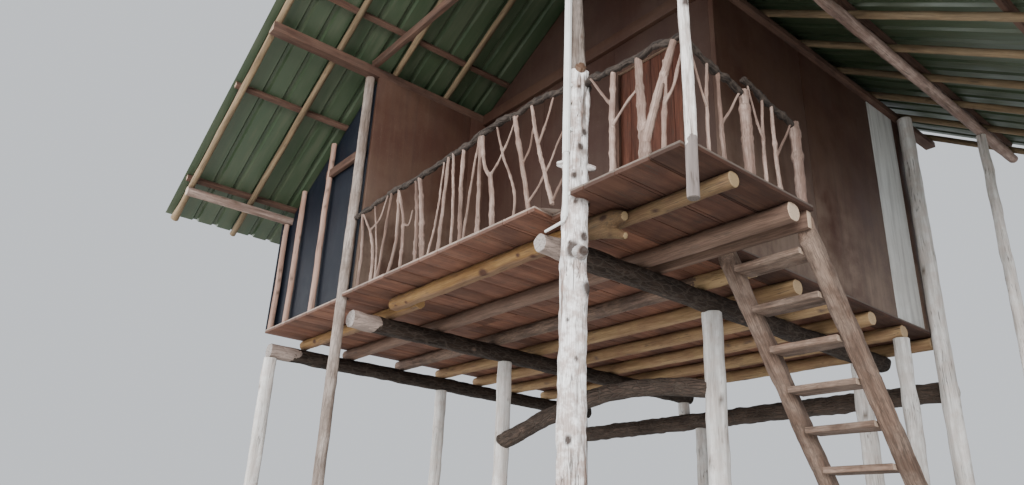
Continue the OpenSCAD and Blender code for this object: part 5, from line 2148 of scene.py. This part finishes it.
@dataclass
class SideBay:
    """The studs and the cloth screens of the bay on the left."""

    sizes: Sizes
    screen_x: float = -3.193
    front_x: float = -3.19
    inner_x: float = -1.542
    front_y: float = -1.9587
    outer_y: float = -2.025
    rear_y: float = 2.3983
    rail_x: tuple[float, float] = (-2.28, -1.59)
    rail_z: float = 4.919
    rail_half: tuple[float, float] = (0.02, 0.04)
    stud_r: float = 0.031
    eave_run: float = 0.1
    eave_x: float = -3.14
    hem_drop: float = 0.035

    def roof_z(self, x: float, inset: float) -> float:
        """The height under the rafters.

        Args:
            x: The place across the house.
            inset: A distance square to the slope that is taken off.

        Returns:
            The height.
        """
        slope = math.tan(self.sizes.roof_pitch)
        at_wall = self.sizes.plate_top + (self.sizes.wall_x - abs(x)) * slope
        return at_wall - inset / math.cos(self.sizes.roof_pitch)

    def studs(self) -> None:
        """The round studs, and the sawn rail that joins two of them in each row."""
        rng = np.random.default_rng(81)
        timber = RoundTimber(0.035, 18, 0.0012, 0.0006, 2.5, 0.004, widest=self.stud_r)
        across = Along.X.vector
        shapes = []
        for points, faces in solids("bay_studs"):
            if np.ptp(points[:, 0]) > 4 * self.stud_r:
                x0, x1 = self.rail_x
                middle = points[:, 1].mean()
                for low, high in ((None, x0 + 3 * self.stud_r), (x1 - 3 * self.stud_r, None)):
                    for part in between(points, faces, across, low, high):
                        shapes.append(timber.shape(*part, rng, rng.uniform(0.35, 0.65)))
                half_y, half_z = self.rail_half
                rail = box_solid((x0, middle - half_y, self.rail_z - half_z),
                                 (x1, middle + half_y, self.rail_z + half_z))
                shapes.append(SawnTimber(0.003, along=Along.X).shape(*rail, rng, 0.4, 1))
            else:
                shapes.append(timber.shape(points, faces, rng, rng.uniform(0.35, 0.65)))
        place("bay_studs_natural", shapes, [STUD, SAWN], "grey_branch", "bay_studs")

    def build(self) -> None:
        """Builds the studs and hangs the screens."""
        self.studs()
        eave = self.roof_z(self.eave_x, 0.045) - 0.05
        floor = self.sizes.floor
        hem = floor - self.hem_drop

        def end_top(u: float) -> float:
            """The upper edge of an end screen, which passes under the eave beam."""
            under_roof = self.roof_z(self.front_x + u, 0.012)
            return min(under_roof, eave) if u < self.eave_run else under_roof

        rests = ("eave_beams_natural", "bay_studs_natural")
        wide = self.inner_x - self.front_x
        sheets = [
            ClothScreen("outer_screen_sheet", (self.screen_x, self.outer_y, 0), (0, 1, 0), (1, 0, 0),
                        self.rear_y - self.outer_y, lambda u: self.roof_z(self.screen_x, 0.016), hem, rests),
            ClothScreen("front_screen_sheet", (self.front_x, self.front_y, 0), (1, 0, 0), (0, 1, 0), wide,
                        end_top, floor + 0.001, rests),
            ClothScreen("rear_screen_sheet", (self.front_x, self.rear_y, 0), (1, 0, 0), (0, 1, 0), wide,
                        end_top, hem, rests),
        ]
        for sheet in sheets:
            shape, area = sheet.shape()
            piece = place(sheet.name, [shape], [SCREEN], "screen_cloth", "bay_screens")
            cloth = piece.modifiers.new("cloth", "SOLIDIFY")
            cloth.thickness, cloth.offset = 0.001, 0.0


@dataclass
class Stair:
    """The log stringers and the treads."""

    landing_y: float = -0.88

    def build(self) -> None:
        """Builds the stringers, cut to the ground and the landing, and the treads."""
        rng = np.random.default_rng(91)
        timber = RoundTimber(pitch=0.035, sides=30, uneven=0.004, flutes=0.003, knots_per_metre=1.5,
                             trim=(0.2, 0.2), easing=1)
        shapes = []
        for points, faces in solids("stair_stringers"):
            shapes.append(self.cut_to_seats(timber.shape(points, faces, rng, 0.5)))
        place("stair_stringers_natural", shapes, [STAIR], "bark_log", "stair_stringers")
        treads = SawnTimber(0.007, 0.08, 0.004, Along.X)
        place("stair_treads_worn", treads.node_shapes("stair_treads", 92, 0.5, 0.2), [STAIR], "stair_wood",
              "stair_treads", sharp=SAWN_EDGE)

    def cut_to_seats(self, raw: Shape) -> Shape:
        """Cuts a log off at the ground and at the landing.

        Args:
            raw: The log.

        Returns:
            The log between the two.
        """
        bm = mesh_of(raw.points, raw.faces)
        # Both layers are made before either is looked up, because a new layer moves the others.
        bm.verts.layers.float.new("knot")
        bm.verts.layers.float_vector.new("grain")
        marks, grain = bm.verts.layers.float["knot"], bm.verts.layers.float_vector["grain"]
        for i, v in enumerate(bm.verts):
            v[marks], v[grain] = raw.knot[i], raw.grain[i]
        cut_off(bm, (0, 0, 0), (0, 0, -1))
        cut_off(bm, (0, self.landing_y, 0), (0, -1, 0))
        knot = np.array([v[marks] for v in bm.verts])
        lines = np.array([v[grain] for v in bm.verts])
        points, faces = arrays(bm)
        return Shape(points, faces, lines, raw.tone, knot, None, raw.finish)


# Places on the bent end of the pipe
PIPE_BEND = (
    (1.268, -2.0534, 3.44), (1.27, -2.0534, 3.375), (1.267, -2.0534, 3.341), (1.256, -2.0534, 3.324),
    (1.232, -2.0514, 3.319), (1.016, -1.9814, 3.347),
)
# Two corners of the lower casing and its lid, and of the upper casing and its lid
CASINGS = (
    ((1.249, -2.0604, 3.345), (1.283, -2.0434, 3.78)), ((1.255, -2.0634, 3.345), (1.277, -2.06, 3.78)),
    ((1.242, -2.0634, 3.77), (1.29, -2.0434, 5.65)), ((1.25, -2.0674, 3.772), (1.28, -2.063, 5.65)),
)


@dataclass
class Conduit:
    """The white casing and pipe down the front post."""

    back_y: float = -2.0434
    clips: tuple[float, ...] = (3.495, 3.93, 4.25, 5.53)
    clip_x: tuple[float, float] = (1.24, 1.292)
    pipe_r: float = 0.009

    def build(self) -> None:
        """Builds the two casings with their lids, the clips and the bent pipe."""
        rng = np.random.default_rng(95)
        moulded = SawnTimber(0.002, 0.4, 0.0006, Along.Z)
        x0, x1 = self.clip_x
        clips = (((x0, self.back_y, z - 0.01), (x1, self.back_y + 0.02, z + 0.01)) for z in self.clips)
        shapes = [moulded.shape(*box_solid(low, high), rng) for low, high in (*CASINGS, *clips)]
        line = spline(np.array([(*p, self.pipe_r) for p in PIPE_BEND]), 0.01)
        points, faces, grain = tube(line, 20)
        shapes.append(Shape(points, faces, grain))
        place("post_casing_and_pipe", shapes, [PIPE], "conduit_plastic", "post_conduit")


@dataclass
class Studio:
    """The floor, the lights and the camera."""

    eye: tuple[float, float, float] = (4.32, -4.885, 1.5)
    right: tuple[float, float, float] = (0.6368, 0.7698, 0.0410)
    up: tuple[float, float, float] = (0.2630, -0.2670, 0.9271)
    lens: float = 27.24
    floor_half: float = 30.0

    def floor(self) -> None:
        """A plain pale floor."""
        h = self.floor_half
        mesh = bpy.data.meshes.new("studio_floor")
        mesh.from_pydata([(-h, -h, 0), (h, -h, 0), (h, h, 0), (-h, h, 0)], [], [(0, 1, 2, 3)])
        mesh.materials.append(Plain("studio_floor_paint").material())
        floor = bpy.data.objects.new("studio_floor", mesh)
        bpy.context.scene.collection.objects.link(floor)

    def lights(self) -> None:
        """Soft lights from the open sides and a bright room."""
        world = bpy.data.worlds.new("studio_air")
        world.use_nodes = True
        air = world.node_tree.nodes["Background"]
        air.inputs["Color"].default_value = (0.86, 0.9, 0.95, 1.0)
        air.inputs["Strength"].default_value = 0.9
        bpy.context.scene.world = world
        for name, place_, aim, size, power in (
            ("key", (7.5, -9.0, 6.5), (0.5, -0.5, 3.8), 5.0, 1800.0),
            ("side", (-7.0, -8.5, 5.0), (0.0, 0.0, 4.0), 5.0, 750.0),
            ("low", (-3.5, -8.0, 2.0), (-0.8, -1.5, 3.6), 2.0, 90.0),
        ):
            lamp = bpy.data.lights.new(name, "AREA")
            lamp.energy, lamp.size = power, size
            lamp_object = bpy.data.objects.new(name, lamp)
            lamp_object.location = place_
            lamp_object.rotation_mode = "QUATERNION"
            lamp_object.rotation_quaternion = (Vector(aim) - Vector(place_)).to_track_quat("-Z", "Y")
            bpy.context.scene.collection.objects.link(lamp_object)

    def camera(self) -> None:
        """The camera at the photo's place and angle."""
        data = bpy.data.cameras.new("camera")
        data.lens, data.sensor_width, data.clip_end = self.lens, 36.0, 200.0
        camera = bpy.data.objects.new("camera", data)
        right, up = Vector(self.right).normalized(), Vector(self.up).normalized()
        back = right.cross(up).normalized()
        up = back.cross(right)
        camera.matrix_world = Matrix.Translation(self.eye) @ Matrix((right, up, back)).transposed().to_4x4()
        bpy.context.scene.collection.objects.link(camera)
        bpy.context.scene.camera = camera

    def build(self) -> None:
        """Sets up the studio."""
        self.floor()
        self.lights()
        self.camera()


def main() -> None:
    """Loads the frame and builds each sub-assembly in order."""
    logging.basicConfig(level=logging.INFO, format="%(message)s")
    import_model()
    noise.seed_set(NOISE_SEED)
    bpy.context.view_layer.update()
    sizes = Sizes()
    Studio().build()
    for part in (Posts(sizes), FloorLogs(sizes), Floors(), Railings(sizes), Walls(), Doorway(), Roof(),
                 SideBay(sizes), Stair(), Conduit()):
        part.build()
        LOG.info("built %s", type(part).__name__)
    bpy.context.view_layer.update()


if __name__ == "__main__":
    main()
